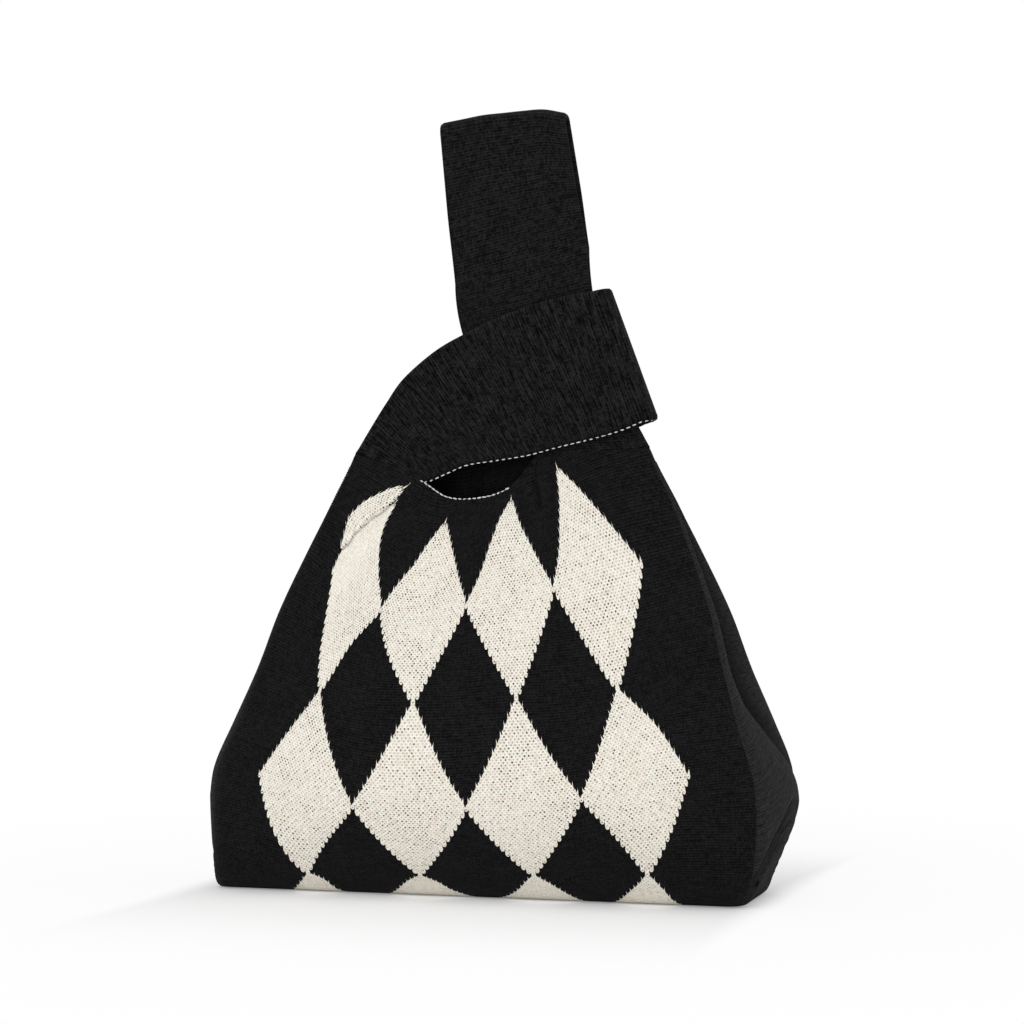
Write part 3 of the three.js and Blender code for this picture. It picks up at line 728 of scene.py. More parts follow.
def reverse_knit(name):
    """The inside of the patterned knit: black where the face is black, and a black and ivory fleck behind
    the diamonds."""
    nodes = nodes_of(bpy.data.materials.new(name))
    u, v, _ = nodes.uv()
    height = stitch_height(u, v, FACE_RIB)
    black = nodes.mix(0.5, black_shade(nodes, u, v, height), BLACK_DEEP)
    check = ((u / WALE).floor() + (v / COURSE).floor()).mod(2)
    color = nodes.mix(diamond_mask(u, v), black, nodes.mix(check * 0.7, BLACK, IVORY))
    return nodes.finish(color, 0.92, height, 0.5, 0.03)


def plain_yarn(name, color, dark, bump):
    nodes = nodes_of(bpy.data.materials.new(name))
    fuzz = nodes.noise(nodes.place(), 1800.0, 3.0)
    return nodes.finish(nodes.mix(fuzz, dark, color), 0.9, fuzz, bump, 0.03)


HARLEQUIN = harlequin_knit("harlequin_knit")
REVERSE = reverse_knit("reverse_knit")
HANDLE_KNIT = black_knit("handle_knit", rib=0.2, bump=0.9, course=1.25, streaks=0.4, sheen=0.03)
STRAP_KNIT = black_knit("strap_knit", rib=0.25, bump=0.9, course=1.25, streaks=1.0, sheen=0.03)
# Painted light: the gussets' and base's knit is made lighter than the rest of the black knit (mean 0.5), for
# the brightness that light grazing their fuzz gives them
BODY_KNIT = black_knit("gusset_knit", rib=0.4, bump=0.9, course=1.3, streaks=0.9, sheen=0.02, mean=0.5)
YARN = plain_yarn("black_yarn", BLACK_LIFT, BLACK, 0.5)
KNOT_YARN = plain_yarn("knot_yarn", BLACK, BLACK_DEEP, 0.5)
THREAD = plain_yarn("white_thread", WHITE_YARN, WHITE_SHADE, 0.4)


# Columns of the panels: close together at the soft corners, and shared with the straps above
EDGE_COLUMNS, STRAP_COLUMNS, MOUTH_COLUMNS = 10, 40, 96
EDGE_BAND = 0.035
PANEL_UP = 176


def spaced(start, stop, count):
    return np.linspace(start, stop, count + 1)


LEFT_COLUMNS = np.r_[
    spaced(-1, -1 + EDGE_BAND, EDGE_COLUMNS), spaced(-1 + EDGE_BAND, MOUTH_CORNER, STRAP_COLUMNS)[1:]]
RIGHT_COLUMNS = np.r_[
    spaced(MOUTH_END, 1 - EDGE_BAND, STRAP_COLUMNS), spaced(1 - EDGE_BAND, 1, EDGE_COLUMNS)[1:]]
PANEL_COLUMNS = np.r_[
    LEFT_COLUMNS, spaced(MOUTH_CORNER, MOUTH_END, MOUTH_COLUMNS)[1:], RIGHT_COLUMNS[1:]]

# The first diamond's fold, in millimetres up from its line: how far it stands out and how far up it fades,
# its lip, the tuck under it, the painted shade line where it lies on the knit, and over what length its ends
# fade
FOLD_STEP, FOLD_REACH, LIP_START, LIP_RUN = 0.9, 9.0, -0.6, 0.9
TUCK_DEPTH, TUCK_PLACE, TUCK_HALF = 0.35, -1.1, 1.2
CREASE_SHADE_PLACE, CREASE_SHADE_HALF, CREASE_END_RUN = -0.2, 0.4, 4.0
# Where the knit is taut its holes close: how much and where, under the fold and near the foot
TAUT_FOLD, TAUT_PLACE, TAUT_HALF, TAUT_END_RUN = 0.8, -8.0, 9.0, 6.0
TAUT_FOOT, TAUT_START, TAUT_RUN = 0.85, 10.0, 14.0
EDGE_FADE, TOP_FADE = 0.06, 0.03  # shares of the panel over which the fold fades at its border
PLEAT_EDGE, PLEAT_START = 0.02, 0.3  # and over which the pleats fade at the mouth
NO_FOLD = -99.0  # the back panel lies far below any fold


def surface_normals(grid, flip):
    """Normals of a grid of points, across its first axis then up its second."""
    across, up = np.gradient(grid, axis=0), np.gradient(grid, axis=1)
    return unit(np.cross(across, up) * (-1 if flip else 1))


def ridge_normals(end, side, q):
    """Normals where a panel turns into a gusset: half way between the two."""
    step = 1e-3
    edge = panel_point(float(end), q, side)
    along = np.gradient(edge, axis=0)
    on_panel = edge - panel_point(end * (1 - step), q, side)
    on_gusset = edge - gusset_point(end, side * (1 - step), q)
    first = np.cross(along, on_panel) * end * side
    second = np.cross(on_gusset, along) * end * side
    first *= np.sign((first * [0, side, 0]).sum(-1, keepdims=True))
    second *= np.sign((second * [end, 0, 0]).sum(-1, keepdims=True))
    return unit(unit(first) + unit(second))


def panel(side):
    q = np.linspace(0, 1, PANEL_UP + 1)
    grid_s, grid_q = np.meshgrid(PANEL_COLUMNS, q, indexing="ij")
    points = panel_point(grid_s, grid_q, side)
    at = np.stack([points[..., 0], knit_height(grid_q, points[..., 2])], -1)
    above = above_fold(at) if side < 0 else np.full(at.shape[:-1], NO_FOLD)
    past_start, past_stop = at[..., 0] - crease_start, at[..., 0] - crease_stop
    shown = smooth(past_start / CREASE_END_RUN) * (1 - smooth((past_stop + 2) / CREASE_END_RUN))
    if side < 0:
        lip = FOLD_STEP * np.exp(-np.maximum(above, 0) / FOLD_REACH) * smooth((above - LIP_START) / LIP_RUN)
        tuck = -TUCK_DEPTH * hump(above - TUCK_PLACE, TUCK_HALF)
        edge = clamp01((1 - np.abs(grid_s)) / EDGE_FADE) * clamp01((1 - grid_q) / TOP_FADE)
        pleats = pleat_depth(at) * smooth((1 - grid_q) / PLEAT_EDGE + PLEAT_START)
        points[..., 1] -= (lip + tuck) * shown * edge - pleats
    else:
        points[..., 1] -= back_fold_depth(at, at[:, -1:, 1])
    # Painted shade: a thin dark line where the fold lies on the knit
    crease_shade = hump(above - CREASE_SHADE_PLACE, CREASE_SHADE_HALF) * shown
    near = smooth(past_start / TAUT_END_RUN + 1) * (1 - smooth(past_stop / TAUT_END_RUN))
    under_fold = TAUT_FOLD * near * hump(above - TAUT_PLACE, TAUT_HALF) * (above < 0)
    taut = np.maximum(under_fold, TAUT_FOOT * (1 - smooth((at[..., 1] - TAUT_START) / TAUT_RUN)))
    quads = grid_quads(len(PANEL_COLUMNS) - 1, PANEL_UP)
    if side > 0:
        quads = quads[:, ::-1]
    flat_at, flat_above = at.reshape(-1, 2), above.reshape(-1)
    face_over = np.repeat(flat_above[quads].mean(1) > 0, 4)
    corner_uv = pattern_uv(flat_at[quads].reshape(-1, 2), face_over).reshape(-1, 4, 2)
    return {"name": "front_knit" if side < 0 else "back_knit", "points": points.reshape(-1, 3),
            "quads": quads, "uv": pattern_uv(flat_at, flat_above > 0), "corner_uv": corner_uv,
            "shades": {"crease_shade": crease_shade, "taut": taut},
            "index": np.arange(crease_shade.size).reshape(crease_shade.shape), "q": q}


KNIT_PER_SHARE = 180.0  # millimetres of knit per unit share of the wall
# The gussets' inward fold: where it starts and over what height it opens; how far across it lies at first
# and at last; its half widths before and behind the valley, at first and at last; and its depth, which is at
# most a share of the gusset's own
FOLD_START, FOLD_RISE = 38.0, 46.0
VALLEY_FIRST, VALLEY_LAST, VALLEY_DRIFT = 0.86, -0.02, 0.8
BEFORE_FIRST, BEFORE_LAST, BEHIND_FIRST, BEHIND_LAST = 0.17, 0.42, 0.34, 0.5
FOLD_DEPTH, FOLD_GROWTH, FOLD_MOST = 11.5, 0.75, 0.54
# The groove along the gussets' seams and the bands under them, in millimetres of knit
GROOVE_DEPTH, GROOVE_HALF = 1.7, 1.4
BAND_PITCH, BAND_DEPTH, BAND_TOP, BAND_FOOT = 4.2, 1.2, 1.5, -17.0
GUSSET_FAN = 0.45  # how steeply the gussets' courses run down towards the front
FOLD_SHADE_GROWTH, FOLD_SHADE_PLACE, FOLD_SHADE_HALF = 0.35, 0.1, 0.34  # painted shade in the fold: how it grows, and where it lies
BASE_PAINTED_SHADE, BASE_SHARE = 0.35, 0.6  # the base: how much painted shade darkens it, and its half width of knit to the foot's depth


def gusset_fold(z):
    """How far the inward fold has opened at height z, and where across the gusset it lies."""
    climb = clamp01((z - FOLD_START) / FOLD_RISE)
    return climb, lerp(VALLEY_FIRST, VALLEY_LAST, climb ** VALLEY_DRIFT)


def gusset_point(end, c, q):
    """A gusset, c from -1 in front to 1 behind: it bulges forward low down and folds in behind, higher up."""
    place = wall(q, SHOULDER_HEIGHT, (1 + c) / 2)
    depth = panel_depth(float(end), place)
    height = place["z"] / BELLY_HEIGHT
    swell = GUSSET_SWELL * through(SWELL_HEIGHTS, SWELLS, np.minimum(height, SWELL_HEIGHTS[-1]))
    climb, valley = gusset_fold(place["z"])
    before, behind = lerp(BEFORE_FIRST, BEFORE_LAST, climb), lerp(BEHIND_FIRST, BEHIND_LAST, climb)
    fold = np.minimum(FOLD_DEPTH * climb ** FOLD_GROWTH, FOLD_MOST * depth)
    fold = fold * hump(c - valley, np.where(c < valley, before, behind))
    y, turned = round_off(c * depth, depth, ridge_radius(place, depth))
    past = (q - lip_seam(c)) * KNIT_PER_SHARE
    groove = GROOVE_DEPTH * hump(past, GROOVE_HALF)
    wave = BAND_DEPTH * (1 - np.cos(past * (2 * math.pi / BAND_PITCH))) / 2
    bands = wave * smooth((BAND_TOP - past) / 2) * smooth((past - BAND_FOOT) / 4)
    bow, ends = 1 - c * c, 1 - c ** 6
    x = place["shift"] + end * (place["width"] + bow * swell - ends * (fold + groove + bands) - turned)
    return xyz(x, y, place["z"])


def lip_seam(c):
    return lerp(LIP_FOOT, LIP_APEX, np.cos(c * math.pi / 2))


GUSSET_COLUMNS = np.r_[spaced(-1, -0.8, 14), spaced(-0.8, 0.8, 46)[1:], spaced(0.8, 1, 14)[1:]]
GUSSET_UP = 110
MEASURED_ROW = 40  # the knit's width is measured along this row


def gusset(end, name):
    c, v = np.meshgrid(GUSSET_COLUMNS, spaced(0, 1, GUSSET_UP), indexing="ij")
    q = lerp(lip_seam(c), GUSSET_TOP, v)
    points = gusset_point(end, c, q)
    quads = grid_quads(len(GUSSET_COLUMNS) - 1, GUSSET_UP)
    normals = surface_normals(points, end < 0)
    normals[0], normals[-1] = ridge_normals(end, FRONT, q[0]), ridge_normals(end, BACK, q[-1])
    if end < 0:
        quads = quads[:, ::-1]
    reach = length_along(points[:, MEASURED_ROW])
    fan = points[..., 2] * LEAN_STRETCH - GUSSET_FAN * (points[..., 1] - points[0, :, 1])
    uv = np.stack([np.broadcast_to(reach[:, None], c.shape), fan], -1)
    joined = np.zeros(c.shape, bool)
    joined[0], joined[-1], joined[:, 0] = True, True, True
    climb, valley = gusset_fold(points[..., 2])
    # Painted shade in the fold's valley, growing as the fold opens
    deep = climb ** FOLD_SHADE_GROWTH * hump(c - valley - FOLD_SHADE_PLACE, FOLD_SHADE_HALF)
    return knit_sheet(name, points, quads, uv, [BODY_KNIT], joined, normals, shades={"deep": deep})


def base():
    """The base with its two turned-up ends, one grid from one gusset's seam to the other's."""
    foot_rows, end_rows = 70, 34
    columns = GUSSET_COLUMNS
    left, right = ([gusset_point(end, columns, lip_seam(columns) * v) for v in spaced(0, 1, end_rows)]
                   for end in (-1, 1))
    flat = [lerp(left[0], right[0], share) for share in spaced(0, 1, foot_rows)[1:-1]]
    points = np.array(left[::-1] + flat + right)
    quads = grid_quads(len(points) - 1, len(columns) - 1)[:, ::-1]
    length = length_along(points[:, len(columns) // 2])
    uv = np.stack(np.broadcast_arrays(columns[None] * FOOT_DEPTH * BASE_SHARE, length[:, None]), -1)
    joined = np.zeros(points.shape[:2], bool)
    joined[0], joined[-1], joined[:, 0], joined[:, -1] = True, True, True, True
    # Painted shade over the whole base, its turned-up ends included
    shades = {"deep": np.full(joined.shape, BASE_PAINTED_SHADE)}
    return knit_sheet("base_knit", points, quads, uv, [BODY_KNIT], joined, shades=shades)


# The short strap: from the front panel up across the knot, round its end fold and down the back.
# Its courses fan out from the corner of the mouth: (lower edge, upper edge) of each, in the picture.
STRAP_COURSES = (
    ((426, 482), (359, 448)), ((434, 480), (372, 426)), ((450, 473), (387, 402)),
    ((470, 465), (404, 378)), ((500, 460.5), (435, 351)), ((530, 455.5), (466, 333)),
    ((560, 447.5), (497, 318)), ((595, 439), (537, 303)), ((622, 431), (570, 295)),
    ((641, 423), (593, 291)),
)
BACK_LIFT = [9, 8, 7, 5, 3.5, 2, 1, 0, 0, 0]  # how far the back layer's lower edge stands above the front's
STRAP_START = 0.12  # the share of the short strap over which it leaves the panel
ALONG_LOOP = np.array([math.cos(LOOP_TILT), 0, math.sin(LOOP_TILT)])
ACROSS_LOOP = np.array([-math.sin(LOOP_TILT), 0, math.cos(LOOP_TILT)])


def strap_edges(side):
    """Lower and upper edge of one layer of the short strap, from the panel to the end fold."""
    low = seen_at([pair[0] for pair in STRAP_COURSES], FRONT * LOOP_HALF)
    high = seen_at([pair[1] for pair in STRAP_COURSES], FRONT * LOOP_HALF)
    if side > 0:
        low[:, 2] += BACK_LIFT
    low[:, 1] = high[:, 1] = side * LOOP_HALF
    inset = unit(high - low) * HALF
    low, high = low + inset, high - inset
    corner = panel_point(np.array([MOUTH_CORNER, -1.0]), np.array([1.0, 1.0]), side)
    return np.r_[corner[:1], low], np.r_[corner[1:], high]


def short_strap():
    along, turn_steps = 170, 16
    share = np.linspace(0, 1, along + 1)
    columns = LEFT_COLUMNS[::-1]
    spread = (columns - MOUTH_CORNER) / (-1 - MOUTH_CORNER)
    layers = {}
    for side in (FRONT, BACK):
        low, high = (line_through(edge, share) for edge in strap_edges(side))
        layer = low[:, None] + (high - low)[:, None] * spread[None, :, None]
        start = panel_point(columns, np.ones_like(columns), side)
        fade = (1 - smooth(share / STRAP_START))[:, None, None]
        layers[side] = layer + fade * (start - layer[0])[None]
    front_end, back_end = layers[FRONT][-1], layers[BACK][-1]
    turns = []
    for step in range(1, turn_steps):
        angle = math.pi * step / turn_steps
        middle = lerp(front_end, back_end, step / turn_steps)
        out = middle + LOOP_HALF * math.sin(angle) * ALONG_LOOP
        out[:, 1] = -LOOP_HALF * math.cos(angle)
        turns.append(out)
    rows = np.concatenate([layers[FRONT], np.array(turns), layers[BACK][::-1]])
    return {"name": "short_strap", "rows": rows, "across": spread * STRAP_WIDTH, "flip": False,
            "knit": STRAP_KNIT}


hinge = next(j for j in frame["joints"] if j["type"] == "hinge")
FOLD_POINT = np.array(hinge["pos_m"]) / MM
LEG_CLOSING, HANDLE_OPENING = 5, 2  # how fast the layers close below the fold line and open above it


def fold_height(x):
    return FOLD_POINT[2] + (x - FOLD_POINT[0]) * math.tan(LOOP_TILT)


def leg_head(c):
    return HANDLE_WIDTH * (LEG_HEAD + c - 0.5)


def leg_point(side, c, v):
    """The long strap's stretch behind the loop, from the panel up to the fold line."""
    s = lerp(MOUTH_END, 1, c)
    foot = panel_point(s, np.ones_like(s), side)
    head = leg_head(c)
    x = lerp(foot[..., 0], head, 1 - (1 - v) ** LEG_BEND)
    y = side * lerp(np.abs(foot[..., 1]), STRAP_HALF, smooth(v * LEG_CLOSING))
    return xyz(x, y, lerp(foot[..., 2], fold_height(head), v))


def handle_end(c):
    ends = through(np.linspace(0, 1, len(HANDLE_ENDS)), HANDLE_ENDS, c)
    z = HANDLE_TOP - HALF - HANDLE_WIDTH * (HANDLE_DOME + ends)
    return xyz(leg_head(c) - (z - fold_height(leg_head(c))) * math.tan(HANDLE_LEAN), 0 * c, z)


def handle_point(side, c, v):
    """The long strap's stretch above the fold line, and half of the turn at its end."""
    x, end = leg_head(c), handle_end(c)
    run = v / (1 - TURN_SHARE)
    flat_y = side * lerp(STRAP_HALF, HANDLE_HALF, smooth(run * HANDLE_OPENING))
    flat = xyz(lerp(x, end[..., 0], run), flat_y, lerp(fold_height(x), end[..., 2], run))
    turn = math.pi / 2 * clamp01((v - 1 + TURN_SHARE) / TURN_SHARE)
    flat[..., 0] -= HANDLE_TAPER * c * run
    rise = HANDLE_WIDTH * HANDLE_DOME * np.sin(turn)
    end = end - xyz(HANDLE_TAPER * c, 0 * c, 0 * c)
    over = xyz(end[..., 0] - rise * math.tan(HANDLE_LEAN), side * HANDLE_HALF * np.cos(turn),
               end[..., 2] + rise)
    return np.where((run <= 1)[..., None], flat, over)


def long_strap():
    leg_rows, handle_rows = 70, 90
    c = (RIGHT_COLUMNS - MOUTH_END) / (1 - MOUTH_END)
    sides = []
    for side in (FRONT, BACK):
        leg = [leg_point(side, c, v) for v in np.linspace(0, 1, leg_rows + 1)[:-1]]
        grip = [handle_point(side, c, np.full_like(c, v)) for v in np.linspace(0, 1, handle_rows + 1)]
        sides.append(np.array(leg + grip))
    rows = np.concatenate([sides[0], sides[1][-2::-1]])
    return {"name": "long_strap", "rows": rows, "across": c * HANDLE_WIDTH, "flip": True, "knit": HANDLE_KNIT}


def make_straps(panels, straps):
    """Sews the straps on the panels: they share the points and normals of the edge where one goes over
    into the other."""
    panel_normals = {side: vertex_normals(sheet["points"], sheet["quads"]) for side, sheet in panels.items()}
    pieces = {}
    for strap, columns in straps:
        rows = strap["rows"]
        quads = grid_quads(len(rows) - 1, rows.shape[1] - 1)
        if strap["flip"]:
            quads = quads[:, ::-1]
        normals = vertex_normals(rows.reshape(-1, 3), quads).reshape(rows.shape)
        for side, row in ((FRONT, 0), (BACK, -1)):
            top = panels[side]["index"][columns, -1]
            shared = unit(panel_normals[side][top] + normals[row])
            panel_normals[side][top], normals[row] = shared, shared
        joined = np.zeros(rows.shape[:2], bool)
        joined[0], joined[-1] = True, True
        length = length_along(rows.mean(1))
        uv = np.stack(np.broadcast_arrays(strap["across"][None], length[:, None]), -1)
        pieces[strap["name"]] = knit_sheet(strap["name"], rows, quads, uv, [strap["knit"]], joined, normals)
        strap["length"] = float(length[-1])
    for side, sheet in panels.items():
        joined = np.zeros(len(sheet["points"]), bool)
        joined[sheet["index"][:, 0]] = True
        for end, column in ((-1, 0), (1, -1)):
            edge = sheet["index"][column]
            joined[edge] = True
            panel_normals[side][edge[:-1]] = ridge_normals(end, side, sheet["q"])[:-1]
        for _, columns in straps:
            joined[sheet["index"][columns, -1]] = True
        pieces[sheet["name"]] = knit_sheet(
            sheet["name"], sheet["points"], sheet["quads"], sheet["uv"], [HARLEQUIN, REVERSE],
            joined, panel_normals[side], sheet["corner_uv"], sheet["shades"])
    return pieces


panels = {side: panel(side) for side in (FRONT, BACK)}
loop_strap, handle_strap = short_strap(), long_strap()
left_tops = np.arange(len(LEFT_COLUMNS))[::-1]
right_tops = np.arange(len(PANEL_COLUMNS) - len(RIGHT_COLUMNS), len(PANEL_COLUMNS))
pieces = make_straps(panels, ((loop_strap, left_tops), (handle_strap, right_tops)))
front, back = pieces["front_knit"], pieces["back_knit"]
loop, strap = pieces["short_strap"], pieces["long_strap"]
loop_rows, loop_length, strap_length = loop_strap["rows"], loop_strap["length"], handle_strap["length"]
left, right = gusset(-1, "left_gusset_knit"), gusset(1, "right_gusset_knit")
foot = base()


# Yarn and thread along lines
def stitch_tree():
    """Stitches along a line: short rounded bars, spaced by pitch, each a little different."""
    tree = bpy.data.node_groups.new("edge_stitches", "GeometryNodeTree")
    face = tree.interface
    face.new_socket("Geometry", in_out="INPUT", socket_type="NodeSocketGeometry")
    kinds = {"Pitch": "Float", "Length": "Float", "Thickness": "Float", "Turn": "Float",
             "Unevenness": "Float", "Seed": "Int", "Material": "Material"}
    ids = {label: face.new_socket(label, in_out="INPUT", socket_type="NodeSocket" + kind).identifier
           for label, kind in kinds.items()}
    face.new_socket("Geometry", in_out="OUTPUT", socket_type="NodeSocketGeometry")
    nodes = Nodes(tree)
    into = nodes.make("NodeGroupInput", {}, {})

    def vectors(operation, a, b):
        return nodes.make("ShaderNodeVectorMath", {"operation": operation}, {0: a, 1: b})

    curve = nodes.make("GeometryNodeMeshToCurve", {}, {0: into})
    resampled = nodes.make("GeometryNodeResampleCurve", {"mode": "LENGTH"}, {
        "Curve": curve, "Length": into.output("Pitch")})
    points = nodes.make("GeometryNodeCurveToPoints", {"mode": "EVALUATED"}, {"Curve": resampled})
    bar = nodes.make("GeometryNodeMeshUVSphere", {}, {"Segments": 8, "Rings": 6, "Radius": 0.5})
    size = nodes.join(into.output("Thickness"), into.output("Thickness"), into.output("Length"))
    shaped = nodes.make("GeometryNodeTransform", {}, {"Geometry": bar, "Scale": size})
    vary = nodes.make("FunctionNodeRandomValue", {"data_type": "FLOAT_VECTOR"}, {
        "Min": (-1, -1, -1), "Max": (1, 1, 1), "Seed": into.output("Seed")})
    spread = nodes.make("ShaderNodeVectorMath", {"operation": "SCALE"}, {
        0: vary, "Scale": into.output("Unevenness")})
    tilt = nodes.join(0.0, into.output("Turn"))
    turned = vectors("ADD", tilt, vectors("MULTIPLY", spread, (0.6, 0.9, 0.6)))
    placed = nodes.make("GeometryNodeInstanceOnPoints", {}, {
        "Points": points, "Instance": shaped, "Rotation": points.output("Rotation"),
        "Scale": vectors("ADD", spread, (1, 1, 1))})
    tilted = nodes.make("GeometryNodeRotateInstances", {}, {"Instances": placed, "Rotation": turned})
    real = nodes.make("GeometryNodeRealizeInstances", {}, {0: tilted})
    soft = nodes.make("GeometryNodeSetShadeSmooth", {}, {0: real})
    dressed = nodes.make("GeometryNodeSetMaterial", {}, {
        "Geometry": soft, "Material": into.output("Material")})
    nodes.make("NodeGroupOutput", {}, {0: dressed})
    return tree, ids


STITCHES, STITCH_IDS = stitch_tree()


def settled_mesh(name, piece):
    """The mesh that a piece comes to with its modifiers."""
    bpy.context.view_layer.update()
    mesh = bpy.data.meshes.new_from_object(piece.evaluated_get(bpy.context.evaluated_depsgraph_get()))
    mesh.name = name
    return mesh


def stitches(name, points, material, seed, pitch, length, thickness, turn, unevenness):
    """Stitches along a line of points, as a plain mesh."""
    line = bpy.data.meshes.new(name)
    line.from_pydata((points * MM).tolist(), [(i, i + 1) for i in range(len(points) - 1)], [])
    piece = place_object(name, line)
    dress = piece.modifiers.new("stitches", "NODES")
    dress.node_group = STITCHES
    values = {"Pitch": pitch * MM, "Length": length * MM, "Thickness": thickness * MM, "Turn": turn,
              "Unevenness": unevenness, "Seed": seed, "Material": material}
    for label, value in values.items():
        dress[STITCH_IDS[label]] = value
    mesh = settled_mesh(name, piece)
    piece.modifiers.clear()
    piece.data = mesh
    return piece


MOUTH_POINTS, MOUTH_STITCHED = 90, 63  # points along the front of the mouth, and how many carry stitches
mouth_columns = np.linspace(MOUTH_CORNER, MOUTH_END - 0.06, MOUTH_POINTS)
mouth_front = panel_point(mouth_columns, np.ones_like(mouth_columns), FRONT) + [0, -1.1, 1.2]
white_mouth = stitches("mouth_stitches_front", mouth_front[:MOUTH_STITCHED], THREAD, seed=3, pitch=2.1,
                       length=1.9, thickness=0.64, turn=0.12, unevenness=0.3)
back_sheet = panels[BACK]
back_edge = back_sheet["index"][len(LEFT_COLUMNS) - 1:-len(RIGHT_COLUMNS) + 1, -1]
white_back = stitches("mouth_stitches_back", back_sheet["points"][back_edge] + [0, 0, 1.0], THREAD, seed=5,
                      pitch=2.4, length=1.7, thickness=0.6, turn=0.15, unevenness=0.25)
loop_line = loop_rows[:, 0] - ACROSS_LOOP * 1.25
loop_line[:, 1] += np.sign(loop_line[:, 1]) * np.minimum(np.abs(loop_line[:, 1]) / LOOP_HALF, 1) * 1.05
white_loop = stitches("loop_stitches", loop_line, THREAD, seed=7, pitch=2.9, length=1.8, thickness=0.55,
                      turn=0.1, unevenness=0.2)

seam_pieces = []
SEAM_FOOT = 0.35  # how high the base seams' yarn lies


def sew(seam, line, seed):
    """Yarn along the line of a seam."""
    yarn = stitches(seam + "_yarn", line, YARN, seed, pitch=1.17, length=1.4, thickness=0.45, turn=0.4,
                    unevenness=0.1)
    seam_pieces.append((yarn, seam))


for end, end_name in ((-1, "left"), (1, "right")):
    for side, face in ((FRONT, "front"), (BACK, "back")):
        q = np.linspace(0.02, 0.97, 200)
        line = panel_point(float(end), q, side) + ridge_normals(end, side, q) * (HALF - 0.1)
        sew(f"side_seam_{face}_{end_name}", line, 11)
    c = np.linspace(-0.97, 0.97, 90)
    line = gusset_point(end, c, lip_seam(c))
    line[:, 0] += end * (HALF - 0.05)
    sew(f"gusset_seam_{end_name}", line, 13)
for side, face in ((FRONT, "front"), (BACK, "back")):
    columns = np.linspace(-0.97, 0.97, 120)
    line = panel_point(columns, np.zeros_like(columns), side)
    line[:, 2] = SEAM_FOOT
    sew(f"base_seam_{face}", line, 17)

# The knot at the lower front corner: its place on the gusset, how far it stands off, its size and its yarn
KNOT_PLACE, KNOT_OFF = (-0.88, 0.135), np.array([0.8, -0.6, 0]) * 1.9
KNOT_SIZE, KNOT_HALF = 0.42, 0.5


def corner_knot():
    """A small overhand knot of yarn."""
    middle = gusset_point(1, *np.array(KNOT_PLACE)[:, None])[0] + KNOT_OFF
    t = np.linspace(0, 2 * math.pi, 60, endpoint=False)
    line = xyz(np.sin(t) + 2 * np.sin(2 * t), -np.sin(3 * t), np.cos(t) - 2 * np.cos(2 * t)) * KNOT_SIZE
    curve = bpy.data.curves.new("corner_knot_yarn", "CURVE")
    curve.dimensions = "3D"
    curve.bevel_depth = KNOT_HALF * MM
    curve.bevel_resolution = 2
    spline = curve.splines.new("POLY")
    spline.points.add(len(line) - 1)
    for point, place in zip(spline.points, (line + middle) * MM):
        point.co = (*place, 1)
    spline.use_cyclic_u = True
    holder = place_object("knot_line", curve)
    mesh = settled_mesh("corner_knot_yarn", holder)
    bpy.data.objects.remove(holder)
    mesh.materials.clear()
    mesh.materials.append(KNOT_YARN)
    return place_object("corner_knot_yarn", mesh)


knot = corner_knot()


# What each piece rides on, stands for and is cut from
for piece, nodes_replaced, slot_name in (
    (front, ("front_panel",), "patterned_knit"), (back, ("back_panel",), "patterned_knit"),
    (left, ("left_gusset",), "black_knit"), (right, ("right_gusset",), "black_knit"),
    (foot, ("base_panel",), "black_knit"),
    (white_mouth, ("mouth_thread_front",), "white_thread"),
    (white_back, ("mouth_thread_back",), "white_thread"),
    (knot, ("corner_knot",), "black_yarn"),
    *((seam, (node,), "black_yarn") for seam, node in seam_pieces),
):
    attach(piece, "bag_body")
    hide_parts(*nodes_replaced)

corner_of_mouth = loop_rows[0, 0] * MM
SHOULDER_UP, SHOULDER_RUN = np.array([0.33, 0, 0.94]), 0.045  # where the short strap bends, in metres
shoulder_end = corner_of_mouth + SHOULDER_UP * SHOULDER_RUN
for piece in (loop, white_loop):
    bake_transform(piece)
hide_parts("short_loop_front", "short_loop_back")
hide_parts("short_loop_thread")
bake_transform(strap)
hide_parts("handle_front", "handle_back")


# The camera, the floor and the light
def aimed(name, data, place, direction):
    """A camera or a lamp at a place, in metres, that looks in a direction."""
    holder = place_object(name, data)
    holder.location = place
    holder.rotation_mode = "QUATERNION"
    holder.rotation_quaternion = Vector(direction).to_track_quat("-Z", "Y")
    return holder


def camera():
    data = bpy.data.cameras.new("camera")
    data.lens, data.sensor_width = LENS, SENSOR
    bpy.context.scene.camera = aimed("camera", data, EYE * MM, AHEAD)


# How much of the floor's shade the camera doesn't see, at the foot and away from it; how far from the foot it
# takes to fade, in metres; and where the floor turns white, in metres from the middle
CONTACT_FADE, SHADOW_FADE = 0.22, 0.88
SIDE_RUN, FRONT_RUN = 0.02, 0.2
WHITE_FROM, WHITE_TO = 0.1, 0.5
FLOOR_HALF = 6.0


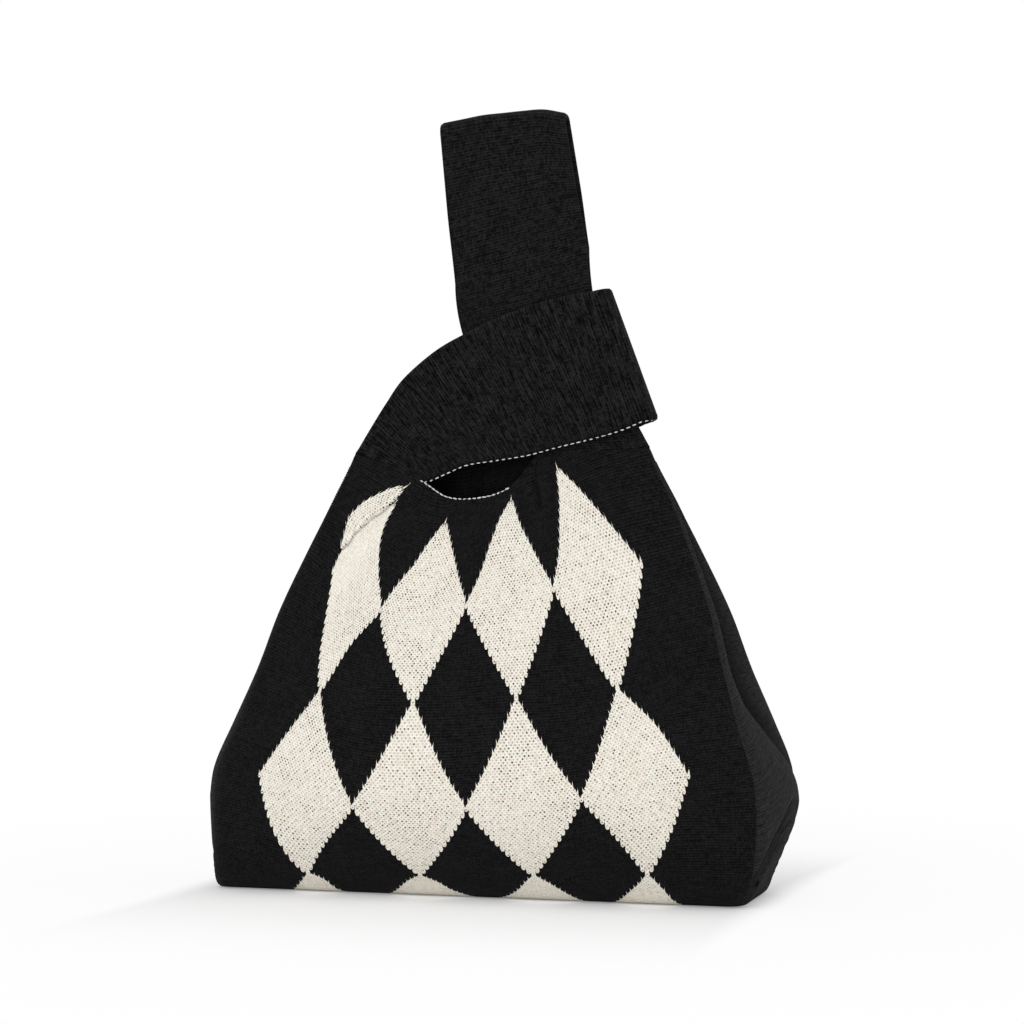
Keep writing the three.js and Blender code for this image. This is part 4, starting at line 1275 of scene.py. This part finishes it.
def floor():
    """A pale floor that reads as white and keeps a soft shadow, whiter still away from the bag."""
    nodes = nodes_of(bpy.data.materials.new("pale_floor"))
    lit = nodes.make("ShaderNodeBsdfDiffuse", {}, {"Color": (0.96, 0.96, 0.96, 1)})
    white = nodes.make("ShaderNodeEmission", {}, {"Strength": 1.0})
    seen = nodes.make("ShaderNodeLightPath", {}, {})
    place = nodes.place()
    across, deep, _ = place.split()
    beside, before = abs(across - FOOT_SHIFT * MM) - FOOT_WIDTH / 2 * MM, abs(deep) - FOOT_DEPTH / 2 * MM
    near = beside.fade(0.0, SIDE_RUN, CONTACT_FADE, SHADOW_FADE).most(
        before.fade(0.0, FRONT_RUN, CONTACT_FADE, SHADOW_FADE))
    plainness = near + (1 - near) * place.length().fade(WHITE_FROM, WHITE_TO, 0.0, 1.0)
    shown = nodes.make("ShaderNodeMixShader", {}, {0: seen * plainness, 1: lit, 2: white})
    nodes.make("ShaderNodeOutputMaterial", {}, {"Surface": shown})
    mesh = bpy.data.meshes.new("floor")
    corners = [(x * FLOOR_HALF, y * FLOOR_HALF, 0) for x, y in ((-1, -1), (1, -1), (1, 1), (-1, 1))]
    mesh.from_pydata(corners, [], [(0, 1, 2, 3)])
    mesh.materials.append(nodes.owner)
    place_object("floor", mesh)


def world():
    """White where it is seen, a little dimmer as light."""
    sky = bpy.data.worlds.new("studio")
    bpy.context.scene.world = sky
    nodes = nodes_of(sky)
    path = nodes.make("ShaderNodeLightPath", {}, {})
    seen = path.most(path.output("Is Glossy Ray")).most(path.output("Is Transmission Ray"))
    lit, white = (nodes.make("ShaderNodeBackground", {}, {"Color": (1, 1, 1, 1), "Strength": strength})
                  for strength in (0.7, 1.0))
    mix = nodes.make("ShaderNodeMixShader", {}, {0: seen, 1: lit, 2: white})
    nodes.make("ShaderNodeOutputWorld", {}, {"Surface": mix})


LAMP_TARGET = Vector((0, 0, 0.15))


def lamp(name, place, size, power):
    data = bpy.data.lights.new(name, "AREA")
    data.shape, data.size, data.energy = "DISK", size, power
    aimed(name, data, place, LAMP_TARGET - Vector(place))


camera()
floor()
world()
lamp("key", (-0.4, -2.1, 1.6), 1.4, 19.5)
lamp("side", (2.3, 0.3, 1.1), 1.0, 6.5)
bpy.context.scene.view_settings.view_transform = "Standard"
